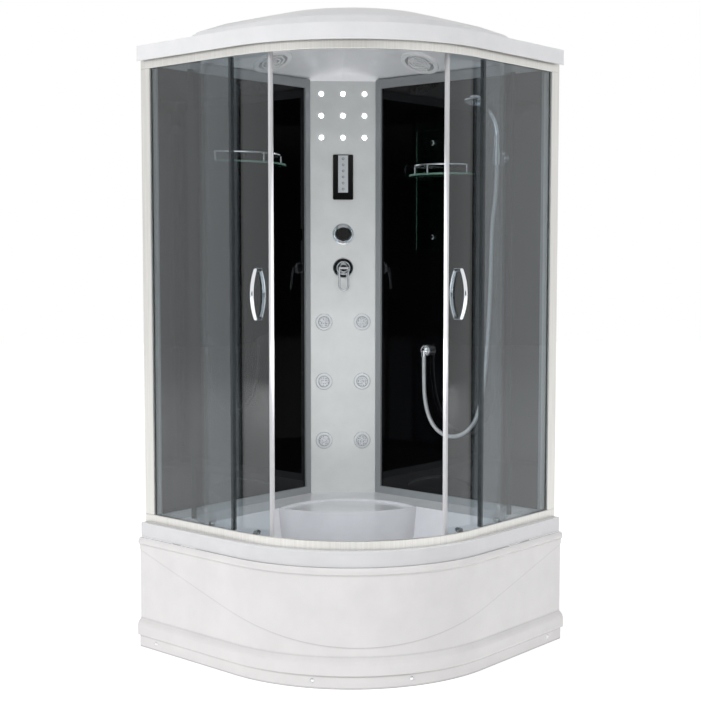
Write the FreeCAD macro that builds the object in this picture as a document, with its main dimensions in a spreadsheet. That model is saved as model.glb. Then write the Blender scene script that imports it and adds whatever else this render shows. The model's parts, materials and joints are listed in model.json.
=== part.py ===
import FreeCAD, Part
import math
import os
import re
import Sketcher
from FreeCAD import Placement, Rotation, Vector

# Quadrant steam shower cabin on a deep tray, with two curved sliding doors shown open.
# Frame: +Z up, +Y towards the back corner, doorway facing -Y, origin at the middle of the
# footprint on the floor. A "reach" is measured from the back corner along a wall, an
# "offset" square out from a wall, and "along" from a wall's end towards the doorway.

# ---------------------------------------------------------------- driving sizes (mm)
SIZES = [
    ("straight_side", 450, "straight run of each side, from the wall to the start of the curve"),
    ("tray_reach", 981, "face of the tray rim"),
    ("rim_top", 413, "top of the tray rim"),
    ("rim_height", 48, "depth of the turned-down rim"),
    ("rim_width", 66, "level strip of the rim that carries the rail"),
    ("deck_top", 404, "deck of the tray, on which the walls stand"),
    ("deck_thick", 14, "deck with its glass-fibre backing"),
    ("shell", 5, "wall of the moulded basin"),
    ("basin_reach", 900, "side and front wall of the basin at the top"),
    ("basin_offset", 138, "deck left between a wall and the basin"),
    ("basin_floor", 86, "top of the basin floor"),
    ("basin_draft", 28, "how far the basin walls lean in, top to bottom"),
    ("basin_round", 55, "plan radius of the basin corners"),
    ("seat_half", 242, "half width of the seat front"),
    ("seat_depth", 437, "back corner to the ends of the seat front"),
    ("seat_bow", 84, "how far the seat front bows out"),
    ("seat_recess", 8, "depth of the hollow in the seat"),
    ("seat_back", 262, "back corner to the far side of the seat hollow"),
    ("drain_from_corner", 770, "back corner to the drain, along the middle"),
    ("drain_hole", 26, "radius of the drain hole"),
    ("skirt_reach", 986, "face of the skirt"),
    ("skirt_wall", 4, "sheet of the skirt"),
    ("skirt_lift", 1, "skirt clear of the floor"),
    ("panel_proud", 3, "raised panel of the skirt"),
    ("upper_bead", 9, "upper bead proud of the skirt"),
    ("lower_bead", 15, "lower bead proud of the skirt"),
    ("lower_bead_top", 97, "top of the lower bead"),
    ("strip_top", 41, "top of the bottom strip"),
    ("strip_proud", 5, "bottom strip proud of the skirt"),
    ("swoosh_low", 126, "lowest point of the raised panel"),
    ("swoosh_radius", 1120, "radius of the raised panel's lower edge"),
    ("screw_height", 25, "skirt screws above the floor"),
    ("screw_head", 6, "radius of a skirt screw's head"),
    ("side_screw", 81, "skirt screw from the wall end of its side"),
    ("upright_inset", 90, "uprights of the tray frame, in from the rim's face"),
    ("bracket_start", 345, "inner end of the front brackets, from the middle of the curve"),
    ("rail_reach", 962, "outer face of the rails and posts"),
    ("rail_wall", 4, "web of the rails"),
    ("rail_base", 42, "foot of the bottom rail, across"),
    ("bottom_rail_height", 27, "bottom rail"),
    ("top_rail_bottom", 1881, "lower edge of the top rail"),
    ("track_rise", 12, "top rail's lower edge to the underside of the wheel track"),
    ("track_edge", 936, "inner edge of the wheel track"),
    ("lip_reach", 944, "inner lip that holds a fixed pane"),
    ("lip_thick", 3, "inner lip and wheel track sheet"),
    ("post_width", 42, "wall post, along the side"),
    ("post_depth", 30, "wall post, across the glass"),
    ("glass", 5, "thickness of the panes"),
    ("pane_reach", 952, "middle plane of the fixed panes"),
    ("pane_end", 411, "free edge of a fixed pane, along"),
    ("seal_grip", 8, "how far a seal grips its pane"),
    ("seal_wall", 2, "wall of a seal"),
    ("seal_fin", 6, "fin of a seal"),
    ("fit", 0.3, "running and assembly clearance"),
    ("door_radius", 472, "middle of the curved door glass"),
    ("door_bottom", 424, "lower edge of the door glass"),
    ("door_top", 1922, "upper edge of the door glass"),
    ("door_tail", 49, "flat end of the door glass past the curve"),
    ("stile_width", 14, "door stile, across the opening"),
    ("stile_depth", 15, "door stile, through the glass"),
    ("stile_slot", 7, "how far the glass enters the stile"),
    ("front_roller", 60, "leading edge to the front roller, round the curve"),
    ("roller_span", 202, "front roller to rear roller, round the curve"),
    ("open_angle", 41.2, "front roller's place on the curve when open, in degrees"),
    ("open_along", 280, "rear roller's place on the straight when open, along"),
    ("wheel_radius", 11, "door wheel"),
    ("wheel_width", 6, "door wheel"),
    ("wheel_stand", 21, "middle of the door glass to the middle of its wheels"),
    ("shoe", 8, "sliding shoe of a lower guide, through its thickness"),
    ("edge", 3, "small roundings, steps and washers"),
    ("running_fit", 0.05, "clearance of a turning fit"),
    ("axle_radius", 3, "door wheel's axle"),
    ("axle_head", 1, "riveted head of a door wheel's axle"),
    ("cap_radius", 8, "cap of a roller bolt"),
    ("cap_length", 7, "cap of a roller bolt"),
    ("guide_height", 437, "lower guides above the floor"),
    ("handle_middle", 1168, "middle of the handle above the floor"),
    ("handle_half", 73, "half the distance between the handle's feet"),
    ("handle_stand", 12, "glass to the ends of the bow"),
    ("handle_bow", 20, "how far the bow swells out"),
    ("handle_bar", 6.5, "radius of the handle's bar"),
    ("handle_inset", 53, "leading edge to the handle, round the curve"),
    ("wall_top", 1925, "top of the wall frames"),
    ("frame_depth", 20, "wall frame, out from the wall"),
    ("frame_end", 931, "far end of a wall frame"),
    ("frame_far", 23, "outer upright of a wall frame"),
    ("frame_near", 24, "inner upright of a wall frame"),
    ("frame_low", 26, "lower bar of a wall frame"),
    ("frame_high", 32, "upper bar of a wall frame"),
    ("rebate", 9, "panel hidden behind the frame's lip"),
    ("frame_lip", 8, "front lip of a wall frame"),
    ("panel_glass", 5, "black glass of the walls"),
    ("column_front", 150, "back corner to the face of the column"),
    ("column_half", 118, "half width of the column"),
    ("column_wall", 4, "sheet of the column"),
    ("column_top", 1920, "top of the column"),
    ("led_high", 1874, "top row of lights"),
    ("led_pitch", 79, "lights apart, both ways"),
    ("led_radius", 8, "light lens"),
    ("led_stem", 6, "body of a light in the column"),
    ("control_rise", 126, "lower edge of the control panel above the selector"),
    ("control_height", 164, "control panel"),
    ("control_width", 74, "control panel"),
    ("control_proud", 7, "control panel proud of the column"),
    ("control_behind", 22, "control panel's box behind the column"),
    ("keypad_width", 36, "keypad strip"),
    ("keypad_height", 138, "keypad strip"),
    ("keypad_proud", 2, "keypad proud of its panel"),
    ("key_radius", 6, "raised key"),
    ("key_pitch", 22, "keys apart"),
    ("selector_height", 1364, "selector above the floor"),
    ("selector_radius", 38, "rim of the selector"),
    ("knob_radius", 22, "knob of the selector"),
    ("shaft", 4, "spindles and plate screws"),
    ("selector_length", 26, "selector, out from the column"),
    ("mixer_drop", 124, "mixer below the selector"),
    ("mixer_radius", 38, "cover plate of the mixer"),
    ("mixer_plate_depth", 8, "cover plate of the mixer, out from the column"),
    ("cartridge", 16, "mixer and diverter bodies behind the column"),
    ("dome_radius", 25, "domed body of the mixer"),
    ("dome_length", 34, "domed body of the mixer, out from its plate"),
    ("dome_cavity", 15, "hollow in the mixer's domed body"),
    ("lever_stem", 4, "stem of the lever"),
    ("lever_wire", 3.6, "radius of the lever's loop"),
    ("lever_half", 16, "half width of the lever's loop"),
    ("lever_drop", 64, "straight legs of the lever's loop"),
    ("jet_high", 1041, "top row of jets"),
    ("jet_rise", 220, "rows of jets apart"),
    ("jet_half", 70.5, "half the distance between the columns of jets"),
    ("jet_ring", 31, "rim of a jet"),
    ("jet_ball", 21, "swivelling ball of a jet"),
    ("jet_face", 18, "sprayed face of a jet"),
    ("jet_bore", 24, "jet body behind the column"),
    ("jet_stand", 3, "centre of a jet's ball out from the column"),
    ("nozzle", 1.3, "radius of a spray nozzle"),
    ("pipe", 8, "radius of the pipes behind the column"),
    ("inlet", 10.5, "radius of a water inlet's thread"),
    ("inlet_half", 58, "half the distance between the water inlets"),
    ("inlet_length", 24, "water inlet, out from the valve body's middle"),
    ("outlet_along", 432, "hose outlet from the back corner"),
    ("outlet_height", 947, "hose outlet above the floor"),
    ("outlet_radius", 22, "rose of the hose outlet"),
    ("hose_radius", 7, "shower hose"),
    ("outlet_reach", 24, "hose out from the wall panel at its outlet"),
    ("outlet_drop", 22, "outlet's middle to the top of the hose"),
    ("hose_end_run", 80, "last straight run of the hose, under the hand shower"),
    ("shower_along", 757, "shower holder from the back corner"),
    ("holder_height", 1616, "middle of the shower holder above the floor"),
    ("holder_cup", 34, "height of the holder's cup"),
    ("holder_rose_radius", 18, "wall plate of the holder"),
    ("handset_low", 1590, "lower end of the hand shower"),
    ("handset_straight", 88, "straight part of the hand shower's handle"),
    ("handset_bend", 106, "bend of the hand shower's handle"),
    ("handset_grip", 10, "radius of the hand shower's handle"),
    ("handset_tail", 13, "radius of the hand shower's lower end"),
    ("head_radius", 37, "head of the hand shower"),
    ("head_depth", 20, "head of the hand shower"),
    ("head_offset", 181, "middle of the shower head, out from the wall"),
    ("head_height", 1795, "middle of the shower head above the floor"),
    ("holder_offset", 57, "cup of the holder out from the wall"),
    ("left_shelf_along", 520, "left shelf from the back corner"),
    ("left_shelf_height", 1601, "underside of the left shelf"),
    ("left_shelf_half", 172, "half width of the left shelf"),
    ("right_shelf_along", 512, "right shelf from the back corner"),
    ("right_shelf_height", 1563, "underside of the right shelf"),
    ("right_shelf_half", 128, "half width of the right shelf"),
    ("shelf_glass", 6, "thickness of a shelf"),
    ("shelf_side", 40, "straight ends of a shelf, out from the wall"),
    ("shelf_bow", 74, "bow of a shelf past its ends"),
    ("rail_rise", 30, "gallery rail above its shelf"),
    ("rail_wire", 3, "radius of the gallery rail"),
    ("rail_inset", 14, "gallery in from the shelf's edge"),
    ("bracket_width", 14, "brackets under a shelf"),
    ("plate_along", 454, "glass plate from the back corner"),
    ("plate_half", 71, "half width of the glass plate"),
    ("plate_low", 1307, "lower edge of the glass plate"),
    ("plate_height", 419, "glass plate"),
    ("plate_stand", 6, "glass plate out from its wall panel"),
    ("plate_screw", 1351, "lower screw of the glass plate"),
    ("plate_screw_rise", 331, "screws of the glass plate apart"),
    ("canopy_reach", 978, "face of the canopy"),
    ("canopy_bottom", 1906, "lower edge of the canopy"),
    ("canopy_height", 48, "upright face of the canopy"),
    ("canopy_wall", 4, "sheet of the canopy"),
    ("vault_reach", 890, "foot of the raised vault"),
    ("shoulder_rise", 72, "shoulder of the vault above the walls"),
    ("shoulder_offset", 150, "shoulder of the vault out from the walls"),
    ("shoulder_reach", 850, "shoulder of the vault"),
    ("crest_rise", 98, "crest of the vault above the walls"),
    ("crest_offset", 214, "crest of the vault out from the walls"),
    ("crest_reach", 790, "crest of the vault"),
    ("roof_rise", 115, "flat top of the roof above the walls"),
    ("roof_offset", 309, "flat top of the roof out from the walls"),
    ("roof_reach", 730, "flat top of the roof"),
    ("fitting_radius", 70, "rim of a ceiling fitting"),
    ("fitting_rim", 7, "rim of a ceiling fitting, below the roof"),
    ("fitting_bore", 52, "throat of a ceiling fitting"),
    ("fitting_length", 26, "box of a ceiling fitting, into the roof"),
    ("fitting_along", 441, "ceiling fitting from the back corner"),
    ("fitting_offset", 78, "ceiling fitting out from the wall"),
    ("fan_radius", 46, "fan wheel"),
    ("post_tube", 25, "square tube of the tray frame"),
    ("frame_lift", 55, "underside of the tray frame"),
    ("foot_radius", 25, "pad of a foot"),
    ("foot_pad", 9, "height of a foot's pad"),
    ("foot_rod", 6, "threaded rod of a foot"),
    ("trap_radius", 45, "cup of the drain trap"),
    ("trap_height", 66, "cup of the drain trap"),
    ("waste_drop", 44, "middle of the waste pipe below the top of the trap"),
    ("waste_heading", 45, "waste pipe, turned from +X towards the right wall"),
    ("waste_radius", 20, "waste pipe"),
    ("waste_length", 70, "waste pipe, out from the trap"),
]
PLACES = [
    ("corner_y", "(straight_side * sqrt(2) + skirt_reach + lower_bead - straight_side) / 2"),
    ("curve_y", "corner_y - straight_side * sqrt(2)"),
    ("deck_under", "deck_top - deck_thick"),
    ("tub_under", "basin_floor - shell"),
    ("track_top", "top_rail_bottom + track_rise + lip_thick"),
    ("rail_high", "canopy_bottom + canopy_height - canopy_wall"),
    ("column_along", "(column_front + column_half) / sqrt(2)"),
    ("frame_start", "column_along + fit"),
    ("column_y", "corner_y - column_front"),
    ("control_low", "selector_height + control_rise"),
    ("mixer_height", "selector_height - mixer_drop"),
    ("canopy_top", "canopy_bottom + canopy_height"),
]
RIGHT = 1
LEFT = -1
SIDES = (("left", LEFT), ("right", RIGHT))

doc = FreeCAD.newDocument("steam_shower_cabin")


def make_sheet(name, rows):
    sheet = doc.addObject("Spreadsheet::Sheet", name)
    for row, (alias, content, note) in enumerate(rows, start=1):
        sheet.set(f"A{row}", note)
        sheet.set(f"B{row}", str(content))
        sheet.setAlias(f"B{row}", alias)
    return sheet


size_names = {alias for alias, value, note in SIZES}
place_names = {alias for alias, formula in PLACES}


def bound(expression):
    """An expression in plain names, with each name led by the sheet that holds it."""
    def led(match):
        word = match.group()
        if word in size_names:
            return "sizes." + word
        if word in place_names:
            return "places." + word
        return word
    return re.sub(r"[a-z_]+", led, expression)


sheet = make_sheet("sizes", SIZES)
places = make_sheet("places", [(alias, "=" + bound(formula), alias) for alias, formula in PLACES])
doc.recompute()


def size(expression):
    return float(places.evalExpression(bound(expression)))


def bind(thing, prop, expression):
    thing.setExpression(prop, bound(expression))


# ---------------------------------------------------------------- drawing tools
def named(kind, label):
    thing = doc.addObject(kind, label)
    thing.Label = label
    return thing


def new_body(label):
    return named("PartDesign::Body", label)


def new_sketch(body, plane="XY_Plane", lift=None):
    """A sketch on one of the body's own planes, lifted along the plane's normal."""
    sketch = body.newObject("Sketcher::SketchObject", body.Label + "_sketch")
    origin = [face for face in body.Origin.OriginFeatures if face.Role == plane][0]
    sketch.AttachmentSupport = [(origin, "")]
    sketch.MapMode = "FlatFace"
    if lift is not None:
        bind(sketch, ".AttachmentOffset.Base.z", lift)
    return sketch


def pin(sketch, edge, end, across, up):
    """Holds one end of an edge at a place given by two expressions."""
    for kind, axis, place in (("DistanceX", -2, across), ("DistanceY", -1, up)):
        if place == "0":
            sketch.addConstraint(Sketcher.Constraint("PointOnObject", edge, end, axis))
        else:
            index = sketch.addConstraint(
                Sketcher.Constraint(kind, -1, 1, edge, end, size(place)))
            bind(sketch, f"Constraints[{index}]", place)


def draw(sketch, corners, closed=True):
    """Draws a run of edges. Each corner is (across, up), or (across, up, radius, turn)
    where the edge that leaves it is an arc: turn is 1 anticlockwise and -1 clockwise."""
    points = [Vector(size(corner[0]), size(corner[1]), 0) for corner in corners]
    count = len(corners) if closed else len(corners) - 1
    first = sketch.GeometryCount
    starts = []
    for index in range(count):
        start = points[index]
        end = points[(index + 1) % len(points)]
        corner = corners[index]
        if len(corner) == 2:
            sketch.addGeometry(Part.LineSegment(start, end))
        else:
            chord = end - start
            half = chord.Length / 2
            radius = size(corner[2])
            square = Vector(chord.y, -chord.x, 0).normalize() * corner[3]
            rise = radius - math.sqrt(radius * radius - half * half)
            sketch.addGeometry(Part.Arc(start, (start + end) * 0.5 + square * rise, end))
        edge = first + index
        near = (sketch.getPoint(edge, 1) - start).Length
        far = (sketch.getPoint(edge, 2) - start).Length
        starts.append(1 if near < far else 2)
    for index in range(count):
        edge = first + index
        pin(sketch, edge, starts[index], corners[index][0], corners[index][1])
        if len(corners[index]) == 4:
            constraint = Sketcher.Constraint("Radius", edge, size(corners[index][2]))
            bind(sketch, f"Constraints[{sketch.addConstraint(constraint)}]", corners[index][2])
        after = (index + 1) % count
        if closed or after:
            sketch.addConstraint(Sketcher.Constraint(
                "Coincident", edge, 3 - starts[index], first + after, starts[after]))
    if not closed:
        pin(sketch, first + count - 1, 3 - starts[-1], corners[-1][0], corners[-1][1])


def ring(sketch, across, up, radius):
    edge = sketch.addGeometry(
        Part.Circle(Vector(size(across), size(up), 0), Vector(0, 0, 1), size(radius)))
    pin(sketch, edge, 3, across, up)
    index = sketch.addConstraint(Sketcher.Constraint("Radius", edge, size(radius)))
    bind(sketch, f"Constraints[{index}]", radius)


def box_corners(left, low, right, high):
    return [(left, low), (right, low), (right, high), (left, high)]


def pad(body, sketch, length, back=False, both=False):
    feature = body.newObject("PartDesign::Pad", body.Label + "_pad")
    feature.Profile = sketch
    bind(feature, "Length", length)
    feature.Reversed = back
    if both:
        feature.SideType = "Symmetric"
    return feature


def cut(body, sketch, length=None, back=False, both=False):
    """Cuts a sketch into the body and checks that it took something away."""
    doc.recompute()
    before = body.Tip.Shape.Volume
    feature = body.newObject("PartDesign::Pocket", body.Label + "_cut")
    feature.Profile = sketch
    feature.Reversed = back
    if both:
        feature.SideType = "Symmetric"
    if length is None:
        feature.Type = "ThroughAll"
    else:
        bind(feature, "Length", length)
    doc.recompute()
    if feature.Shape.Volume > before - 1e-3:
        raise ValueError(f"{body.Label}: a cut took nothing away")
    return feature


def turn(body, sketch, axis="V_Axis", angle=360):
    feature = body.newObject("PartDesign::Revolution", body.Label + "_turn")
    feature.Profile = sketch
    feature.ReferenceAxis = (sketch, [axis])
    feature.Angle = angle
    return feature


def sweep(body, profile, path):
    feature = body.newObject("PartDesign::AdditivePipe", body.Label + "_sweep")
    feature.Profile = profile
    feature.Spine = path
    return feature


def soften(body, feature, radius, chosen):
    """Rounds the edges that the test picks, by a radius bound to the sheet."""
    doc.recompute()
    edges = [f"Edge{n}" for n, edge in enumerate(feature.Shape.Edges, start=1) if chosen(edge)]
    rounded = body.newObject("PartDesign::Fillet", body.Label + "_round")
    rounded.Base = (feature, edges)
    bind(rounded, "Radius", radius)
    return rounded


def turned(label, outline, place):
    """A turned piece facing -Y. The outline gives how far out and how far from the axis."""
    body = new_body(label)
    sketch = new_sketch(body, "YZ_Plane")
    corners = []
    for corner in outline:
        spot = (f"-({corner[0]})", corner[1])
        corners.append(spot if len(corner) == 2 else spot + (corner[2], -corner[3]))
    draw(sketch, corners)
    turn(body, sketch, "H_Axis")
    body.Placement = place
    return body


def group(label, things):
    holder = named("Part::Compound", label)
    holder.Links = things
    return holder


def plan(reach, offset, side=RIGHT):
    """Plan place given by a reach along a wall and an offset from it."""
    return f"{side} * ({reach} - ({offset})) / sqrt(2)", f"corner_y - ({reach} + {offset}) / sqrt(2)"


def wall_place(reach, offset, height, side):
    """Placement on a wall, with -Y pointing into the cabin."""
    across, back = plan(reach, offset, side)
    return Placement(Vector(size(across), size(back), size(height)),
                     Rotation(Vector(0, 0, 1), -45 * side))


def column_place(across, height, proud="0"):
    return Placement(Vector(size(across), size(f"column_y - ({proud})"), size(height)), Rotation())


def quadrant(reach, offset):
    """Closed quadrant outline: two straight sides, the curved front and the two walls."""
    return [
        plan(reach, offset, LEFT),
        plan(reach, "straight_side", LEFT) + (f"{reach} - straight_side", 1),
        plan(reach, "straight_side", RIGHT),
        plan(reach, offset, RIGHT),
        ("0", f"corner_y - sqrt(2) * ({offset})"),
    ]


def quadrant_band(outer, inner, offset):
    """Band between two quadrant outlines, open towards the walls."""
    return [
        plan(outer, offset, LEFT),
        plan(outer, "straight_side", LEFT) + (f"{outer} - straight_side", 1),
        plan(outer, "straight_side", RIGHT),
        plan(outer, offset, RIGHT),
        plan(inner, offset, RIGHT),
        plan(inner, "straight_side", RIGHT) + (f"{inner} - straight_side", -1),
        plan(inner, "straight_side", LEFT),
        plan(inner, offset, LEFT),
    ]


def profile_sketch(body):
    """Upright sketch square to the right side at the wall: across is reach, up is height."""
    sketch = new_sketch(body, "XZ_Plane")
    sketch.AttachmentOffset = Placement(Vector(0, 0, 0), Rotation(Vector(0, 1, 0), -45))
    bind(sketch, ".AttachmentOffset.Base.z", "-corner_y")
    return sketch


def side_path(body, reach):
    """Path round the cabin from the right wall to the left wall, at a reach."""
    path = new_sketch(body)
    draw(path, [
        plan(reach, "0", RIGHT),
        plan(reach, "straight_side", RIGHT) + (f"{reach} - straight_side", -1),
        plan(reach, "straight_side", LEFT),
        plan(reach, "0", LEFT),
    ], closed=False)
    return path


def round_the_front(label, outline, reach):
    """A section drawn as (reach, height) and carried round the sides and front."""
    body = new_body(label)
    profile = profile_sketch(body)
    draw(profile, outline)
    sweep(body, profile, side_path(body, reach))
    return body


# ---------------------------------------------------------------- tray
def basin_outline(grow, lean):
    """Basin in plan: curved front, sides, deck edges along the walls and bowed seat front.
    grow moves the outline outwards and lean inwards."""
    move = f"{grow} - {lean}"
    reach = f"(basin_reach + {move})"
    offset = f"(basin_offset - ({move}))"
    half = f"(seat_half + {move})"
    seat_y = f"(corner_y - seat_depth + {grow} - {lean} * 0.4)"
    bow = "((seat_half * seat_half + seat_bow * seat_bow) / (2 * seat_bow))"
    corners = []
    for side in (LEFT, RIGHT):
        leg = [
            (f"{side} * {half}", seat_y),
            plan(f"({reach} - basin_round)", offset, side) + ("basin_round", 1),
            plan(reach, f"({offset} + basin_round)", side),
            plan(reach, "straight_side", side) + (f"{reach} - straight_side", 1),
        ]
        corners.append(leg)
    left, right = corners
    outline = left + [right[3][:2], right[2] + right[1][2:], right[1][:2]]
    outline.append(right[0] + (bow, -1))
    return outline


def make_tray():
    body = new_body("tray_basin")
    deck = new_sketch(body, lift="deck_under")
    draw(deck, quadrant("tray_reach", "0"))
    pad(body, deck, "rim_top - deck_under")
    lip = new_sketch(body, lift="rim_top - rim_height")
    draw(lip, quadrant_band("tray_reach", "tray_reach - shell", "0"))
    pad(body, lip, "rim_height - shell")
    tub = body.newObject("PartDesign::AdditiveLoft", "tray_tub")
    upper = new_sketch(body, lift="deck_under + fit")
    draw(upper, basin_outline("shell", "0"))
    lower = new_sketch(body, lift="tub_under")
    draw(lower, basin_outline("shell", "basin_draft"))
    tub.Profile = upper
    tub.Sections = [lower]
    tub.Ruled = True
    level = new_sketch(body, lift="rim_top")
    draw(level, quadrant("(tray_reach - rim_width)", "0"))
    cut(body, level, "rim_top - deck_top")
    hollow = new_sketch(body, lift="deck_top")
    bow = "((seat_half * seat_half + seat_bow * seat_bow) / (2 * seat_bow))"
    rear = "(seat_depth - seat_back)"
    draw(hollow, [
        ("-seat_half + shell", "corner_y - seat_depth", bow, 1),
        ("seat_half - shell", "corner_y - seat_depth",
         f"(seat_half * seat_half + {rear} * {rear}) / (2 * {rear})", 1),
    ])
    cut(body, hollow, "seat_recess")
    doc.recompute()
    basin = body.newObject("PartDesign::SubtractiveLoft", "tray_hollow")
    mouth = new_sketch(body, lift="deck_top + shell")
    draw(mouth, basin_outline("0", "0"))
    floor = new_sketch(body, lift="basin_floor")
    draw(floor, basin_outline("0", "basin_draft"))
    basin.Profile = mouth
    basin.Sections = [floor]
    basin.Ruled = True
    drain = new_sketch(body, lift="basin_floor")
    ring(drain, "0", "corner_y - drain_from_corner", "drain_hole")
    cut(body, drain, "shell * 2")
    return body


def make_skirt():
    """Formed skirt: raised panel with a sweeping lower edge, two beads and a plain strip."""
    body = new_body("skirt_sheet")
    top = "(rim_top - rim_height - fit)"
    panel = new_sketch(body, lift="lower_bead_top")
    inner = "skirt_reach - skirt_wall"
    draw(panel, quadrant_band("skirt_reach + panel_proud", inner, "0"))
    pad(body, panel, f"{top} - lower_bead_top - upper_bead")
    slope = "0.39"
    touch = f"(swoosh_radius * {slope})"
    touch_rise = f"(swoosh_low + swoosh_radius * (1 - sqrt(1 - {slope} * {slope})))"
    far = "(skirt_reach)"
    far_rise = f"({touch_rise} + ({far} - {touch}) * {slope} / sqrt(1 - {slope} * {slope}))"
    below = new_sketch(body, "XZ_Plane")
    draw(below, [
        (f"-{far}", "0"),
        (far, "0"),
        (far, far_rise),
        (touch, touch_rise, "swoosh_radius", -1),
        (f"-{touch}", touch_rise),
        (f"-{far}", far_rise),
    ])
    cut(body, below, both=True)
    bead = "upper_bead"
    low = "lower_bead"
    sheet_profile = profile_sketch(body)
    face = "skirt_reach"
    draw(sheet_profile, [
        (inner, "skirt_lift"),
        (f"{face} + strip_proud", "skirt_lift"),
        (f"{face} + strip_proud", "strip_top"),
        (f"{face} + {low} - 6", "strip_top", "6", 1),
        (f"{face} + {low}", "strip_top + 6"),
        (f"{face} + {low}", "lower_bead_top - 24", "24", 1),
        (f"{face} + {low} - 9", "lower_bead_top - 6"),
        (face, "lower_bead_top"),
        (face, f"{top} - 3 * {bead}"),
        (f"{face} + {bead}", f"{top} - 2 * {bead}", "3 * upper_bead", 1),
        (f"{face} + {bead} - 3", f"{top} - 3"),
        (f"{face} + {bead} - 6", top),
        (inner, top),
    ])
    sweep(body, sheet_profile, side_path(body, inner))
    return drill_skirt_screws("front_skirt", body)


def screw_places():
    """The four screws of the skirt: two on the curve and one near the end of each side."""
    spots = []
    for side in (LEFT, RIGHT):
        across, back = plan("skirt_reach + strip_proud", "side_screw", side)
        spots.append((across, back, 45 * side))
        angle = 16 * side
        radius = "(skirt_reach + strip_proud - straight_side)"
        spots.append((f"{radius} * sin({angle})", f"curve_y - {radius} * cos({angle})", angle))
    return spots


def make_skirt_screws():
    screws = []
    for number, (across, back, heading) in enumerate(screw_places(), start=1):
        body = new_body(f"skirt_screw_{number}")
        outline = new_sketch(body, "YZ_Plane")
        draw(outline, [
            ("screw_head * 4", "0"),
            ("screw_head * 4", "screw_head / 3"),
            ("0", "screw_head / 3"),
            ("0", "screw_head", "screw_head * 2", 1),
            ("-screw_head / 2", "screw_head / 2"),
            ("-screw_head / 2", "0"),
        ])
        turn(body, outline, "H_Axis")
        body.Placement = Placement(Vector(size(across), size(back), size("screw_height")),
                                   Rotation(Vector(0, 0, 1), heading))
        screws.append(body)
    return group("skirt_screws", screws)


def foot_places():
    """Five feet: the back corner, both wall ends and two behind the front curve."""
    return [
        plan("120", "120", RIGHT),
        plan("tray_reach - upright_inset", "70", LEFT),
        plan("tray_reach - upright_inset", "70", RIGHT),
        ("-230", "corner_y - drain_from_corner - 210"),
        ("230", "corner_y - drain_from_corner - 210"),
    ]


def make_frame_bars():
    """Welded frame of square tube under the basin, with uprights to the deck."""
    tube = "post_tube"
    bars = []

    def bar(across, back, low, width, depth, height, heading=0):
        block = doc.addObject("Part::Box", "frame_bar")
        bind(block, "Length", width)
        bind(block, "Width", depth)
        bind(block, "Height", height)
        spin = Rotation(Vector(0, 0, 1), heading)
        centre = Vector(size(across), size(back), size(low))
        half = spin.multVec(Vector(size(width) / 2, size(depth) / 2, 0))
        block.Placement = Placement(centre - half, spin)
        bars.append(block)

    feet = foot_places()
    seat_level = f"tub_under - frame_lift"
    back_bar = "corner_y - drain_from_corner + 190"
    front_bar = "corner_y - drain_from_corner - 210"
    for level in (back_bar, front_bar):
        bar("0", level, "frame_lift", f"460 + {tube}", tube, seat_level)
    for side in (LEFT, RIGHT):
        bar(f"{side} * 230", "corner_y - drain_from_corner - 10", "frame_lift", tube, "400", seat_level)
    bar("0", "corner_y - (drain_from_corner - 190 + 120 * sqrt(2)) / 2", "frame_lift", tube,
        "drain_from_corner - 190 - 120 * sqrt(2)", seat_level)
    for side, place in ((LEFT, feet[1]), (RIGHT, feet[2])):
        start = Vector(size(f"{side} * 230"), size(back_bar), 0)
        end = Vector(size(place[0]), size(place[1]), 0)
        run = end - start
        heading = math.degrees(math.atan2(run.y, run.x))
        middle = (start + end) * 0.5
        block = doc.addObject("Part::Box", "frame_bar")
        block.Length = run.Length
        bind(block, "Width", tube)
        bind(block, "Height", seat_level)
        spin = Rotation(Vector(0, 0, 1), heading)
        half = spin.multVec(Vector(run.Length / 2, size(tube) / 2, 0))
        block.Placement = Placement(middle + Vector(0, 0, size("frame_lift")) - half, spin)
        bars.append(block)
    for across, back in feet[:3]:
        bar(across, back, "frame_lift", tube, tube, "deck_under - frame_lift")
    reach = "(skirt_reach - skirt_wall - straight_side)"
    drop_low = f"(screw_height - {tube} / 2)"
    for side in (LEFT, RIGHT):
        angle = 16 * side
        mid = f"({reach} + bracket_start) / 2"
        bar(f"{mid} * sin({angle})", f"curve_y - {mid} * cos({angle})", "frame_lift",
            tube, f"{reach} - bracket_start - 2 * fit", tube, angle)
        end = f"({reach} - fit - {tube} / 2)"
        bar(f"{end} * sin({angle})", f"curve_y - {end} * cos({angle})", drop_low,
            tube, tube, f"frame_lift - {drop_low} + {tube}", angle)
        across, back = plan("(tray_reach - upright_inset + skirt_reach - skirt_wall) / 2",
                            "side_screw", side)
        bar(across, back, "frame_lift",
            "skirt_reach - skirt_wall - tray_reach + upright_inset - 2 * fit", tube, tube, -45 * side)
        across, back = plan(f"(skirt_reach - skirt_wall - fit - {tube} / 2)", "side_screw", side)
        bar(across, back, drop_low, tube, tube, f"frame_lift - {drop_low} + {tube}", -45 * side)
    return fuse("frame_bars", bars)


def make_feet():
    feet = []
    for number, (across, back) in enumerate(foot_places(), start=1):
        body = new_body(f"foot_{number}")
        outline = new_sketch(body, "XZ_Plane")
        draw(outline, [
            ("0", "0"),
            ("foot_radius", "0"),
            ("foot_radius", "foot_pad / 2"),
            ("foot_rod * 2", "foot_pad"),
            ("foot_rod * 2", "foot_pad * 2"),
            ("foot_rod", "foot_pad * 2"),
            ("foot_rod", "frame_lift"),
            ("0", "frame_lift"),
        ])
        turn(body, outline)
        body.Placement = Placement(Vector(size(across), size(back), 0), Rotation())
        feet.append(body)
    return group("adjustable_feet", feet)


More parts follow.
